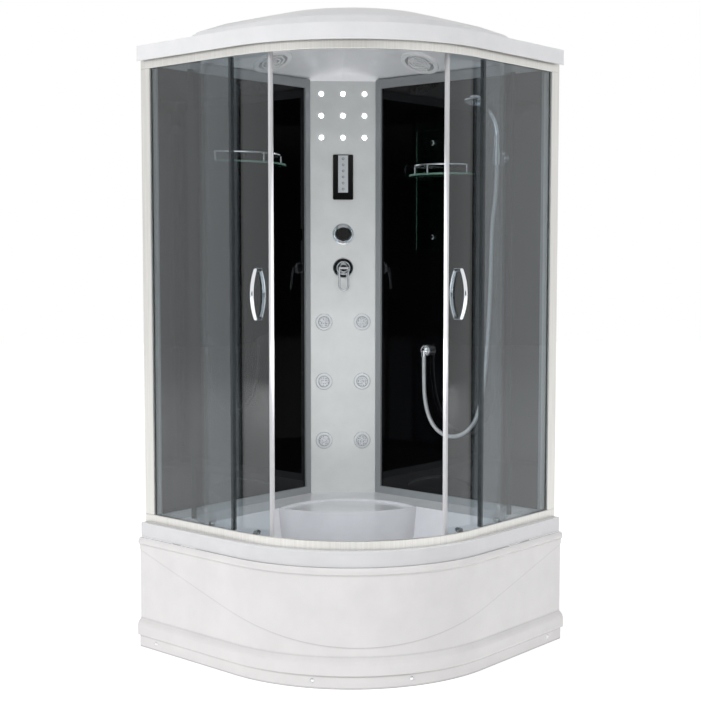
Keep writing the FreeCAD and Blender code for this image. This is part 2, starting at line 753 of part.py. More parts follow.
def make_drain():
    place = Placement(Vector(0, size("corner_y - drain_from_corner"), 0), Rotation())
    strainer = new_body("drain_strainer")
    outline = new_sketch(strainer, "XZ_Plane")
    draw(outline, [
        ("0", "basin_floor + 3"),
        ("drain_hole + 12", "basin_floor + 3", "90", -1),
        ("drain_hole + 18", "basin_floor + 0.3"),
        ("drain_hole - fit", "basin_floor + 0.3"),
        ("drain_hole - fit", "basin_floor - shell"),
        ("drain_hole - 3", "basin_floor - shell"),
        ("drain_hole - 3", "basin_floor"),
        ("0", "basin_floor"),
    ])
    turn(strainer, outline)
    doc.recompute()
    slots = new_sketch(strainer, lift="basin_floor + 10")
    for step in range(-2, 3):
        left = f"{step} * 8 - 1.5"
        draw(slots, box_corners(left, "-14", f"{left} + 3", "14"))
    cut(strainer, slots, "14")
    strainer.Placement = place
    trap = new_body("drain_trap")
    cup = new_sketch(trap, "XZ_Plane")
    high = "tub_under"
    low = f"({high} - trap_height)"
    draw(cup, [
        ("drain_hole - 4", high),
        ("trap_radius + 6", high),
        ("trap_radius + 6", f"{high} - 6"),
        ("trap_radius", f"{high} - 6"),
        ("trap_radius", f"{low} + 10", "10", -1),
        ("trap_radius - 10", low),
        ("0", low),
        ("0", f"{low} + 4"),
        ("trap_radius - 12", f"{low} + 4", "8", 1),
        ("trap_radius - 4", f"{low} + 12"),
        ("trap_radius - 4", f"{high} - 6"),
        ("drain_hole - 4", f"{high} - 6"),
    ])
    turn(trap, cup)
    doc.recompute()
    pipe = new_sketch(trap, "YZ_Plane", lift="trap_radius - 3")
    ring(pipe, "0", f"{high} - waste_drop", "waste_radius")
    pad(trap, pipe, "waste_length")
    doc.recompute()
    way = new_sketch(trap, "YZ_Plane", lift="trap_radius + waste_length")
    ring(way, "0", f"{high} - waste_drop", "waste_radius - 3")
    cut(trap, way, "waste_length + 8")
    trap.Placement = place.multiply(Placement(Vector(), Rotation(Vector(0, 0, 1), size("waste_heading"))))
    return [strainer, trap]


# ---------------------------------------------------------------- rails, posts and panes
def make_bottom_rail():
    low = "rim_top"
    return round_the_front("bottom_rail", [
        ("rail_reach - rail_base", low),
        ("rail_reach", low),
        ("rail_reach", f"{low} + bottom_rail_height - 3", "3", 1),
        ("rail_reach - 3", f"{low} + bottom_rail_height"),
        ("rail_reach - rail_wall", f"{low} + bottom_rail_height"),
        ("rail_reach - rail_wall", f"{low} + lip_thick"),
        ("lip_reach + lip_thick", f"{low} + lip_thick"),
        ("lip_reach + lip_thick", f"{low} + bottom_rail_height / 2"),
        ("lip_reach", f"{low} + bottom_rail_height / 2"),
        ("lip_reach", f"{low} + lip_thick"),
        ("rail_reach - rail_base", f"{low} + lip_thick"),
    ], "rail_reach")


def make_top_rail():
    low = "top_rail_bottom"
    high = "rail_high"
    track = "(track_top - lip_thick)"
    return round_the_front("top_rail", [
        ("rail_reach", f"{low} + 3"),
        ("rail_reach", high),
        ("track_edge - 14", high),
        ("track_edge - 14", f"{high} - lip_thick"),
        ("rail_reach - rail_wall", f"{high} - lip_thick"),
        ("rail_reach - rail_wall", "track_top"),
        ("track_edge", "track_top"),
        ("track_edge", track),
        ("lip_reach", track),
        ("lip_reach", f"{low} + 3"),
        ("lip_reach + lip_thick", f"{low} + 3"),
        ("lip_reach + lip_thick", track),
        ("rail_reach - rail_wall", track),
        ("rail_reach - rail_wall", low),
        ("rail_reach - 3", low, "3", 1),
    ], "rail_reach")


def make_posts():
    """Upright posts at the walls, grooved for the fixed panes."""
    posts = []
    for name, side in SIDES:
        body = new_body(f"{name}_post")
        section = new_sketch(body, lift="rim_top + bottom_rail_height")
        outline = [
            ("rail_reach", "0"),
            ("rail_reach", "post_width - 2"),
            ("rail_reach - 2", "post_width"),
            ("pane_reach + glass / 2 + fit", "post_width"),
            ("pane_reach + glass / 2 + fit", "post_width - 14"),
            ("pane_reach - glass / 2 - fit", "post_width - 14"),
            ("pane_reach - glass / 2 - fit", "post_width"),
            ("rail_reach - post_depth", "post_width"),
            ("rail_reach - post_depth", "0"),
        ]
        draw(section, [plan(reach, offset, side) for reach, offset in outline])
        pad(body, section, "top_rail_bottom - rim_top - bottom_rail_height")
        posts.append(body)
    return group("wall_posts", posts)


def make_fixed_pane(name, side):
    body = new_body(f"{name}_fixed_glass")
    section = new_sketch(body, lift="rim_top + lip_thick + fit")
    inner = "pane_reach - glass / 2"
    outer = "pane_reach + glass / 2"
    near = "post_width - 13.7"
    draw(section, [plan(outer, near, side), plan(outer, "pane_end", side),
                   plan(inner, "pane_end", side), plan(inner, near, side)])
    pad(body, section, "track_top - 2 * lip_thick - rim_top - 2 * fit")
    return body


def make_pane_seals():
    """Clear seals on the free edges of the fixed panes, each with a fin towards the door."""
    seals = []
    for name, side in SIDES:
        body = new_body(f"{name}_pane_seal")
        section = new_sketch(body, lift="rim_top + bottom_rail_height + fit")
        inner = "pane_reach - glass / 2 - fit"
        outer = "pane_reach + glass / 2 + fit"
        grip = "pane_end - seal_grip"
        tip = "pane_end + seal_wall"
        outline = [
            (f"{outer} + seal_wall", grip),
            (f"{outer} + seal_wall", tip),
            (f"{inner} - seal_fin", tip),
            (f"{inner} - seal_fin", f"{tip} - 1.2"),
            (f"{inner} - seal_wall", f"{tip} - 2.4"),
            (f"{inner} - seal_wall", grip),
            (inner, grip),
            (inner, "pane_end + fit"),
            (outer, "pane_end + fit"),
            (outer, grip),
        ]
        draw(section, [plan(reach, offset, side) for reach, offset in outline])
        pad(body, section, "top_rail_bottom - rim_top - bottom_rail_height - 2 * fit")
        seals.append(body)
    return group("fixed_glass_seals", seals)


# ---------------------------------------------------------------- doors
def door_travel(side):
    """Rigid move of a door from closed to its open place in the photograph.
    Both rollers sit on the rail in both places. Returns the pole and the turn."""
    radius = size("door_radius")
    corner = Vector(0, size("corner_y"), 0)
    centre = Vector(0, size("curve_y"), 0)
    reach = size("straight_side") + radius

    def on_curve(angle):
        return centre + Vector(radius * math.sin(angle), -radius * math.cos(angle), 0)

    front = on_curve(size("front_roller") / radius)
    rear = on_curve(size("front_roller + roller_span") / radius)
    open_front = on_curve(math.radians(size("open_angle")))
    along = size("open_along")
    for attempt in range(40):
        open_rear = corner + Vector(reach - along, -reach - along, 0) * math.sqrt(0.5)
        along += (open_rear - open_front).Length - (rear - front).Length
    was = math.atan2(rear.y - front.y, rear.x - front.x)
    now = math.atan2(open_rear.y - open_front.y, open_rear.x - open_front.x)
    angle = now - was
    spin = Rotation(Vector(0, 0, 1), math.degrees(angle))
    shift = open_front - spin.multVec(front)
    half_turn = 1 / math.tan(angle / 2)
    pole = Vector(shift.x - half_turn * shift.y, shift.y + half_turn * shift.x, 0) * 0.5
    return Vector(side * pole.x, pole.y, 0), side * math.degrees(angle)


def door_place(side, arc="0", height="0"):
    """Placement of a door piece drawn about the curve's centre and facing -Y.
    arc is the distance round the glass from the leading edge."""
    pole, angle = door_travel(side)
    opened = Placement(Vector(0, 0, 0), Rotation(Vector(0, 0, 1), angle), pole)
    heading = side * math.degrees(size(arc) / size("door_radius"))
    closed = Placement(Vector(0, size("curve_y"), size(height)),
                       Rotation(Vector(0, 0, 1), heading))
    return opened.multiply(closed)


TANGENT = "door_radius * 0.785398"


def make_door_glass(name, side):
    body = new_body(f"{name}_door_glass")
    section = new_sketch(body, lift="door_bottom")
    outer = "(door_radius + glass / 2)"
    inner = "(door_radius - glass / 2)"
    start = "(stile_width - stile_slot + fit) / door_radius * 57.29578"
    end = "45"

    def spot(radius, angle, tail="0"):
        return (f"{side} * ({radius} * sin({angle}) + {tail} * cos({angle}))",
                f"-{radius} * cos({angle}) + {tail} * sin({angle})")

    draw(section, [
        spot(outer, start) + (outer, side),
        spot(outer, end),
        spot(outer, end, "door_tail"),
        spot(inner, end, "door_tail"),
        spot(inner, end) + (inner, -side),
        spot(inner, start),
    ])
    pad(body, section, "door_top - door_bottom")
    doc.recompute()
    holes = [("handle_inset", f"handle_middle {sign} handle_half", "handle_bar + fit")
             for sign in "+-"]
    for arc in ("front_roller", "front_roller + roller_span"):
        holes.append((arc, "track_top + wheel_radius", "axle_radius + fit"))
        holes.append((arc, "guide_height", "axle_radius + fit"))
    for arc, height, radius in holes:
        bore = new_sketch(body, "XZ_Plane")
        heading = size(f"{side} * 57.29578 * ({arc}) / door_radius")
        bore.AttachmentOffset = Placement(Vector(0, 0, 0), Rotation(Vector(0, 1, 0), heading))
        ring(bore, "0", height, radius)
        cut(body, bore, "door_radius * 1.2", back=True)
    body.Placement = door_place(side)
    return body


def make_door_stile(name, side):
    """Magnetic stile on the leading edge, slotted for the glass."""
    body = new_body(f"{name}_door_stile")
    section = new_sketch(body, lift="door_bottom - 4")
    outer = "(door_radius + stile_depth / 2)"
    inner = "(door_radius - stile_depth / 2)"
    slot = "(stile_width - stile_slot)"
    gap = "(glass / 2 + 2 * fit)"
    draw(section, [
        (f"{side} * (2 * fit)", f"-{outer} + 4"),
        (f"{side} * 4", f"-{outer}"),
        (f"{side} * (stile_width - 4)", f"-{outer}"),
        (f"{side} * stile_width", f"-{outer} + 4"),
        (f"{side} * stile_width", f"-door_radius - {gap}"),
        (f"{side} * {slot}", f"-door_radius - {gap}"),
        (f"{side} * {slot}", f"-door_radius + {gap}"),
        (f"{side} * stile_width", f"-door_radius + {gap}"),
        (f"{side} * stile_width", f"-{inner} - 4"),
        (f"{side} * (stile_width - 4)", f"-{inner}"),
        (f"{side} * 4", f"-{inner}"),
        (f"{side} * (2 * fit)", f"-{inner} - 4"),
    ])
    pad(body, section, "door_top - door_bottom - 10")
    body.Placement = door_place(side)
    return body


def make_rear_seal(name, side):
    """Clear seal on the trailing edge, with a fin towards the fixed pane."""
    body = new_body(f"{name}_rear_seal")
    section = new_sketch(body, lift="door_bottom + 2")
    gap = "(glass / 2 + fit)"
    wall = f"({gap} + seal_wall)"
    grip = "(door_tail - seal_grip)"
    tip = "(door_tail + fit + seal_wall)"
    draw(section, [
        (f"{side} * {grip}", f"-door_radius - {wall}"),
        (f"{side} * ({tip} - 2.4)", f"-door_radius - {wall}"),
        (f"{side} * ({tip} - 1.2)", f"-door_radius - {wall} - seal_fin"),
        (f"{side} * {tip}", f"-door_radius - {wall} - seal_fin"),
        (f"{side} * {tip}", f"-door_radius + {wall}"),
        (f"{side} * {grip}", f"-door_radius + {wall}"),
        (f"{side} * {grip}", f"-door_radius + {gap}"),
        (f"{side} * (door_tail + fit)", f"-door_radius + {gap}"),
        (f"{side} * (door_tail + fit)", f"-door_radius - {gap}"),
        (f"{side} * {grip}", f"-door_radius - {gap}"),
    ])
    pad(body, section, "door_top - door_bottom - 44")
    body.Placement = door_place(side, TANGENT)
    return body


def solid_box(width, depth, height, across, back, low):
    """A block given by its size and the middle of its base."""
    block = doc.addObject("Part::Box", "block")
    bind(block, "Length", width)
    bind(block, "Width", depth)
    bind(block, "Height", height)
    bind(block, ".Placement.Base.x", f"{across} - ({width}) / 2")
    bind(block, ".Placement.Base.y", f"{back} - ({depth}) / 2")
    bind(block, ".Placement.Base.z", low)
    return block


def rod(radius, length, across, back, low, axis=Vector(0, 0, 1)):
    """A round bar given by the middle of its first end and its direction."""
    bar = doc.addObject("Part::Cylinder", "rod")
    bind(bar, "Radius", radius)
    bind(bar, "Height", length)
    bar.Placement.Rotation = Rotation(Vector(0, 0, 1), axis)
    bind(bar, ".Placement.Base.x", across)
    bind(bar, ".Placement.Base.y", back)
    bind(bar, ".Placement.Base.z", low)
    return bar


def fuse(label, things):
    joined = named("Part::MultiFuse", label)
    joined.Shapes = things
    return joined


def carve(label, base, tools):
    """Takes the tools out of the base."""
    tool = tools[0] if len(tools) == 1 else fuse(label + "_tool", tools)
    carved = named("Part::Cut", label)
    carved.Base = base
    carved.Tool = tool
    return carved


OUT = Vector(0, -1, 0)
INTO = Vector(0, 1, 0)
ACROSS = Vector(1, 0, 0)


def make_handle(name, side):
    """A pair of bowed bars, outside and inside, joined by two feet through the glass."""
    pieces = []
    bow = "((handle_half * handle_half + handle_bow * handle_bow) / (2 * handle_bow))"
    sweep_angle = 2 * math.degrees(math.asin(size(f"handle_half / {bow}")))
    for face in (1, -1):
        bar = doc.addObject("Part::Torus", "handle_bow")
        bind(bar, "Radius1", bow)
        bind(bar, "Radius2", "handle_bar")
        bar.Angle3 = sweep_angle
        outward = Rotation(ACROSS, -sweep_angle / 2).multVec(OUT * face)
        bar.Placement.Rotation = Rotation(outward, ACROSS.cross(outward), ACROSS, "ZXY")
        bind(bar, ".Placement.Base.y",
             f"-door_radius - {face} * (glass / 2 + handle_stand + handle_bow - {bow})")
        pieces.append(bar)
    for sign in "+-":
        foot = rod("handle_bar - fit", "2 * handle_stand + glass", "0",
                   "-door_radius + handle_stand + glass / 2", f"{sign}handle_half", OUT)
        pieces.append(foot)
        for face in (1, -1):
            knob = doc.addObject("Part::Sphere", "handle_end")
            bind(knob, "Radius", "handle_bar")
            bind(knob, ".Placement.Base.y", f"-door_radius - {face} * (glass / 2 + handle_stand)")
            bind(knob, ".Placement.Base.z", f"{sign}handle_half")
            pieces.append(knob)
    handle = fuse(f"{name}_door_handle", pieces)
    handle.Placement = door_place(side, "handle_inset", "handle_middle")
    return handle


WHEEL_MIDDLE = "(door_radius + wheel_stand)"


def make_carriers(name, side):
    """Two hangers with wheel axles at the top of a door and two sliding guides below."""
    pieces = []
    hub_in = f"({WHEEL_MIDDLE} - wheel_width / 2 - fit)"
    hub_out = f"({WHEEL_MIDDLE} + wheel_width / 2 + fit)"
    for number, arc in enumerate(("front_roller", "front_roller + roller_span"), start=1):
        pieces.append(turned(f"{name}_hanger_{number}", [
            ("door_radius - glass / 2 - cap_length", "0"),
            ("door_radius - glass / 2 - cap_length", "cap_radius - edge", "edge", -1),
            ("door_radius - glass / 2 - cap_length + edge", "cap_radius"),
            ("door_radius - glass / 2", "cap_radius"),
            ("door_radius - glass / 2", "axle_radius"),
            ("door_radius + glass / 2", "axle_radius"),
            ("door_radius + glass / 2", "cap_radius"),
            (f"{hub_in} - edge", "cap_radius"),
            (hub_in, "axle_radius + 2"),
            (hub_in, "axle_radius"),
            (hub_out, "axle_radius"),
            (hub_out, "axle_radius + 2"),
            (f"{hub_out} + axle_head", "axle_radius + 2"),
            (f"{hub_out} + axle_head", "0"),
        ], door_place(side, arc, "track_top + wheel_radius")))
        guide = turned(f"{name}_guide_{number}", [
            ("door_radius - glass / 2 - cap_length", "0"),
            ("door_radius - glass / 2 - cap_length", "cap_radius - edge", "edge", -1),
            ("door_radius - glass / 2 - cap_length + edge", "cap_radius"),
            ("door_radius - glass / 2", "cap_radius"),
            ("door_radius - glass / 2", "axle_radius"),
            ("door_radius + glass / 2", "axle_radius"),
            ("door_radius + glass / 2", "cap_radius"),
            ("door_radius + glass / 2 + shoe", "cap_radius"),
            ("door_radius + glass / 2 + shoe", "0"),
        ], door_place(side, arc, "guide_height"))
        tongue = new_sketch(guide, "XZ_Plane", lift="door_radius + glass / 2")
        draw(tongue, box_corners("-cap_radius", "rim_top + lip_thick + fit - guide_height",
                                 "cap_radius", "0"))
        pad(guide, tongue, "shoe")
        pieces.append(guide)
    return group(f"{name}_door_carriers", pieces)


def make_wheel(name, side, arc):
    return turned(name, [
        (f"{WHEEL_MIDDLE} - wheel_width / 2", "axle_radius + running_fit"),
        (f"{WHEEL_MIDDLE} - wheel_width / 2", "wheel_radius - 1"),
        (f"{WHEEL_MIDDLE} - wheel_width / 2 + 1", "wheel_radius - running_fit"),
        (f"{WHEEL_MIDDLE} + wheel_width / 2 - 1", "wheel_radius - running_fit"),
        (f"{WHEEL_MIDDLE} + wheel_width / 2", "wheel_radius - 1"),
        (f"{WHEEL_MIDDLE} + wheel_width / 2", "axle_radius + running_fit"),
    ], door_place(side, arc, "track_top + wheel_radius"))


# ---------------------------------------------------------------- back walls
def make_wall_frame(name, side):
    """Upright frame standing on the deck, notched over the rim and its rail, and rebated
    behind for its panel."""
    body = new_body(f"{name}_wall_frame")
    tall = "wall_top - deck_top"
    long = "frame_end - frame_start"
    near = f"{side} * frame_near"
    far = f"{side} * ({long} - frame_far)"
    notch = f"{side} * (tray_reach - rim_width - fit - frame_start)"
    step = "rim_top + lip_thick + fit - deck_top"
    face = new_sketch(body, "XZ_Plane")
    draw(face, [("0", "0"), (notch, "0"), (notch, step), (f"{side} * ({long})", step),
                (f"{side} * ({long})", tall), ("0", tall)])
    draw(face, box_corners(near, "frame_low", far, f"{tall} - frame_high"))
    pad(body, face, "frame_depth")
    back = new_sketch(body, "XZ_Plane")
    draw(back, box_corners(f"{near} - {side} * rebate", "frame_low - rebate",
                           f"{far} + {side} * rebate", f"{tall} - frame_high + rebate"))
    cut(body, back, "frame_depth - frame_lip", back=True)
    body.Placement = wall_place("frame_start", "0", "deck_top", side)
    return body


def make_wall_panel(name, side):
    body = new_body(f"{name}_wall_panel")
    tall = "wall_top - deck_top"
    long = "(frame_end - frame_start)"
    edge = "(rebate - fit)"
    face = new_sketch(body, "XZ_Plane", lift="frame_depth - frame_lip - panel_glass")
    draw(face, box_corners(f"{side} * (frame_near - {edge})", f"frame_low - {edge}",
                           f"{side} * ({long} - frame_far + {edge})", f"{tall} - frame_high + {edge}"))
    pad(body, face, "panel_glass")
    if side == RIGHT:
        doc.recompute()
        bore = new_sketch(body, "XZ_Plane")
        ring(bore, "outlet_along - frame_start", "outlet_height - deck_top", "inlet + fit")
        cut(body, bore, "frame_depth", back=True)
    body.Placement = wall_place("frame_start", "0", "deck_top", side)
    return body


# ---------------------------------------------------------------- column and its fittings
def jet_places():
    return [(f"{side} * jet_half", f"jet_high - {row} * jet_rise")
            for row in range(3) for side in (LEFT, RIGHT)]


def led_places():
    return [(f"{column} * led_pitch", f"led_high - {row} * led_pitch")
            for row in range(3) for column in (-1, 0, 1)]


def make_column():
    body = new_body("column_panel")
    section = new_sketch(body, lift="deck_top")
    inner_reach = "(column_along - column_wall)"
    inner_half = f"(sqrt(2) * {inner_reach} - column_front + column_wall)"
    draw(section, [
        plan("column_along", "0", LEFT),
        ("-column_half", "column_y"),
        ("column_half", "column_y"),
        plan("column_along", "0", RIGHT),
        plan(inner_reach, "0", RIGHT),
        (inner_half, "column_y + column_wall"),
        (f"-{inner_half}", "column_y + column_wall"),
        plan(inner_reach, "0", LEFT),
    ])
    pad(body, section, "column_top - deck_top")
    holes = new_sketch(body, "XZ_Plane", lift="-column_y - column_wall * 2")
    for across, height in led_places():
        ring(holes, across, height, "led_stem + fit")
    for across, height in jet_places():
        ring(holes, across, height, "jet_bore + fit")
    ring(holes, "0", "selector_height", "shaft + running_fit")
    ring(holes, "0", "mixer_height", "cartridge + fit")
    box = "(control_width / 2 - edge * 2)"
    draw(holes, box_corners(f"-{box}", "control_low + edge * 2",
                            box, "control_low + control_height - edge * 2"))
    cut(body, holes, "column_wall * 3", back=True)
    return body


def make_leds():
    crown = "(led_radius * led_radius + edge * edge) / (2 * edge)"
    lenses = []
    for number, (across, height) in enumerate(led_places(), start=1):
        lenses.append(turned(f"led_lens_{number}", [
            ("-column_wall - led_stem", "0"),
            ("-column_wall - led_stem", "led_stem"),
            ("0", "led_stem"),
            ("0", "led_radius", crown, -1),
            ("edge", "0"),
        ], column_place(across, height)))
    return group("led_lenses", lenses)


def make_control_panel():
    body = new_body("control_panel")
    half = "control_width / 2"
    face = new_sketch(body, "XZ_Plane")
    draw(face, [
        (f"-{half}", "edge"), (f"-{half} + edge", "0"), (f"{half} - edge", "0"), (half, "edge"),
        (half, "control_height - edge"), (f"{half} - edge", "control_height"),
        (f"-{half} + edge", "control_height"), (f"-{half}", "control_height - edge"),
    ])
    pad(body, face, "control_proud")
    box = new_sketch(body, "XZ_Plane")
    draw(box, box_corners(f"-{half} + edge * 2 + fit", "edge * 2 + fit",
                          f"{half} - edge * 2 - fit", "control_height - edge * 2 - fit"))
    pad(body, box, "control_behind", back=True)
    body.Placement = column_place("0", "control_low")
    return body


def make_keypad():
    """Key strip with six raised keys, on the face of the control panel."""
    body = new_body("control_keypad")
    strip = new_sketch(body, "XZ_Plane", lift="control_proud")
    low = "(control_height - keypad_height)"
    draw(strip, box_corners("-keypad_width / 2", low, "keypad_width / 2", "control_height - edge"))
    pad(body, strip, "keypad_proud")
    keys = new_sketch(body, "XZ_Plane", lift="control_proud + keypad_proud")
    for row in range(6):
        ring(keys, "0", f"{low} + key_pitch * ({row} + 0.6)", "key_radius")
    pad(body, keys, "keypad_proud / 2")
    body.Placement = column_place("0", "control_low")
    return body


def make_selector():
    """Fixed ring on the column and the knob that turns in it."""
    place = column_place("0", "selector_height")
    ring_body = turned("selector_ring", [
        ("0", "knob_radius + fit"),
        ("0", "selector_radius"),
        ("selector_length / 4", "selector_radius", "selector_radius", 1),
        ("selector_length / 2", "knob_radius + edge"),
        ("selector_length / 2", "knob_radius + fit"),
    ], place)
    knob = turned("selector_knob", [
        ("-column_wall - selector_length", "0"),
        ("-column_wall - selector_length", "shaft"),
        ("fit", "shaft"),
        ("fit", "knob_radius"),
        ("selector_length - edge", "knob_radius", "edge", -1),
        ("selector_length", "knob_radius - edge"),
        ("selector_length", "0"),
    ], place)
    doc.recompute()
    grip = new_sketch(knob, "XZ_Plane", lift="selector_length - edge * 2")
    for side in (LEFT, RIGHT):
        draw(grip, box_corners(f"{side} * edge * 1.5", "-knob_radius * 2",
                               f"{side} * knob_radius * 2", "knob_radius * 2"))
    cut(knob, grip, "edge * 3", back=True)
    return [ring_body, knob]


def make_mixer():
    """Cover plate, the domed body that turns on it and the looped lever that lifts."""
    place = column_place("0", "mixer_height")
    plate = turned("mixer_plate", [
        ("-column_wall - edge", "0"),
        ("-column_wall - edge", "cartridge"),
        ("0", "cartridge"),
        ("0", "mixer_radius"),
        ("mixer_plate_depth - edge", "mixer_radius", "edge", -1),
        ("mixer_plate_depth", "mixer_radius - edge"),
        ("mixer_plate_depth", "0"),
    ], place)
    start = "(mixer_plate_depth + fit)"
    end = f"({start} + dome_length)"
    dome = turned("mixer_dome", [
        (start, "dome_cavity"),
        (start, "dome_radius"),
        (f"{end} - dome_radius / 2", "dome_radius", "dome_radius * 0.9", -1),
        (end, "dome_radius / 2"),
        (end, "0"),
        (f"{end} - edge * 2", "0"),
        (f"{end} - edge * 2", "dome_cavity"),
    ], place)
    doc.recompute()
    slot = new_sketch(dome, "XZ_Plane", lift=end)
    draw(slot, box_corners("-lever_stem - fit", "-lever_stem - fit", "lever_stem + fit", "lever_stem * 3"))
    cut(dome, slot, "edge * 3")
    pivot = f"-({end} - dome_length / 2)"
    stem = "(dome_length / 2 + edge * 2)"
    loop_out = f"-({end} + edge * 2)"
    pieces = [
        rod("lever_stem / 2", "2 * dome_cavity - 2 * fit", "-dome_cavity + fit", pivot, "0", ACROSS),
        rod("lever_stem", stem, "0", pivot, "0", OUT),
        rod("lever_wire", "2 * lever_half", "-lever_half", loop_out, "0", ACROSS),
    ]
    lean = "lever_drop * 0.12"
    for side in (LEFT, RIGHT):
        foot = Vector(0, -size(lean), -size("lever_drop"))
        leg = rod("lever_wire", f"lever_drop * sqrt(1 + 0.12 * 0.12)", f"{side} * lever_half",
                  loop_out, "0", foot)
        end_ball = doc.addObject("Part::Sphere", "lever_corner")
        bind(end_ball, "Radius", "lever_wire")
        bind(end_ball, ".Placement.Base.x", f"{side} * lever_half")
        bind(end_ball, ".Placement.Base.y", loop_out)
        pieces += [leg, end_ball]
    bend = doc.addObject("Part::Torus", "lever_bend")
    bind(bend, "Radius1", "lever_half")
    bind(bend, "Radius2", "lever_wire")
    bend.Angle3 = 180
    bend.Placement.Rotation = Rotation(ACROSS * -1, Vector(0, -0.12, -1), Vector(0, -1, 0.12), "ZXY")
    bind(bend, ".Placement.Base.y", f"{loop_out} - {lean}")
    bind(bend, ".Placement.Base.z", "-lever_drop")
    pieces.append(bend)
    lever = fuse("mixer_lever", pieces)
    lever.Placement = place
    return [plate, dome, lever]


def make_jets():
    """Six body jets: fixed rims in the column and heads that swivel in them."""
    rims = []
    heads = []
    throat = "(jet_ball + fit)"
    for number, (across, height) in enumerate(jet_places(), start=1):
        place = column_place(across, height)
        rims.append(turned(f"jet_rim_{number}", [
            ("-column_wall - jet_ball", "0"),
            ("-column_wall - jet_ball", "jet_bore"),
            ("0", "jet_bore"),
            ("0", "jet_ring"),
            ("edge", "jet_ring", "edge * 2", -1),
            ("edge * 2", "jet_ring - edge"),
            ("edge * 2", throat),
            ("-jet_ball", throat),
            ("-jet_ball", "0"),
        ], place))
        head = turned(f"jet_head_{number}", [
            ("-jet_ball * 0.7", "0"),
            ("-jet_ball * 0.7", "jet_ball * 0.714143", "jet_ball", -1),
            ("sqrt(jet_ball * jet_ball - jet_face * jet_face)", "jet_face"),
            ("sqrt(jet_ball * jet_ball - jet_face * jet_face)", "0"),
        ], column_place(across, height, "jet_stand"))
        nozzle = new_sketch(head, "XZ_Plane", lift="sqrt(jet_ball * jet_ball - jet_face * jet_face)")
        for count, radius in ((6, "jet_face * 0.36"), (12, "jet_face * 0.74")):
            for step in range(count):
                angle = 360 * step / count
                ring(nozzle, f"{radius} * cos({angle})", f"{radius} * sin({angle})", "nozzle")
        pad(head, nozzle, "nozzle * 1.4")
        heads.append(head)
    return [group("jet_rims", rims)] + heads


def make_valve_block():
    """Mixer and diverter bodies behind the column, with inlets and the jets' risers."""
    deep = "column_y + column_wall + jet_ball + pipe"
    front = "column_y + column_wall + edge"
    pieces = []
    for side in (LEFT, RIGHT):
        pieces.append(rod("pipe", "2 * jet_rise + 2 * pipe", f"{side} * jet_half", deep,
                          "jet_high - 2 * jet_rise - pipe"))
        pieces.append(rod("pipe", "mixer_height - jet_high - pipe", f"{side} * jet_half", deep,
                          "jet_high + pipe"))
        pieces.append(rod("inlet", "inlet_length", f"{side} * inlet_half", deep, "mixer_height", INTO))
    pieces.append(solid_box("2 * inlet_half + 2 * inlet", "2 * pipe", "2 * inlet", "0", deep,
                            "mixer_height - inlet"))
    pieces.append(rod("cartridge", "jet_ball + pipe - edge", "0", front, "mixer_height", INTO))
    pieces.append(rod("pipe", "selector_height - mixer_height", "0", deep, "mixer_height"))
    diverter = rod("cartridge", "selector_length", "0", front, "selector_height", INTO)
    pieces.append(diverter)
    block = fuse("valve_body", pieces)
    bores = [rod("inlet - edge", "inlet_length", f"{side} * inlet_half", f"{deep} + pipe",
                 "mixer_height", INTO) for side in (LEFT, RIGHT)]
    bores.append(rod("shaft + running_fit", "selector_length", "0", f"{front} - edge",
                     "selector_height", INTO))
    return carve("valve_block", block, bores)


# ---------------------------------------------------------------- hand shower
PANEL_FACE = "(frame_depth - frame_lip)"


def make_hose_outlet():
    """Domed wall outlet with a nut facing down."""
    rose = turned("outlet_rose", [
        ("-panel_glass - edge", "0"),
        ("-panel_glass - edge", "inlet"),
        ("0", "inlet"),
        ("0", "outlet_radius"),
        ("edge", "outlet_radius", "outlet_radius * 1.1", -1),
        ("outlet_reach + hose_radius", "hose_radius"),
        ("outlet_reach + hose_radius", "0"),
    ], Placement())
    nut = rod("hose_radius + 2", "outlet_drop", "0", "-outlet_reach", "-outlet_drop")
    outlet = fuse("hose_outlet", [rose, nut])
    outlet.Placement = wall_place("outlet_along", PANEL_FACE, "outlet_height", RIGHT)
    return outlet


# Corner points of the hose: along the right wall, out from the wall, and height.
HOSE_ROUTE = [
    (0, 0, 0),
    (0, 0, -62),
    (10, 9, -155),
    (44, 16, -235),
    (106, 21, -275),
    (178, 22, -270),
    (238, 22, -225),
    (270, 22, -140),
    (288, 22, -5),
    (299, 22, 155),
    (305, 22, 325),
    (308, 22, 470),
]


def hose_points():
    """The route's corners in the cabin's frame, ending under the hand shower."""
    start = (size("outlet_along"), size(f"{PANEL_FACE} + outlet_reach"),
             size("outlet_height - outlet_drop"))
    corners = [tuple(a + b for a, b in zip(start, step)) for step in HOSE_ROUTE]
    along = size("shower_along")
    offset = size("holder_offset")
    low = size("handset_low")
    corners.append((along, offset, low - size("hose_end_run")))
    corners.append((along, offset, low))
    corner_y = size("corner_y")
    half = math.sqrt(0.5)
    return [Vector((a - o) * half, corner_y - (a + o) * half, z) for a, o, z in corners]


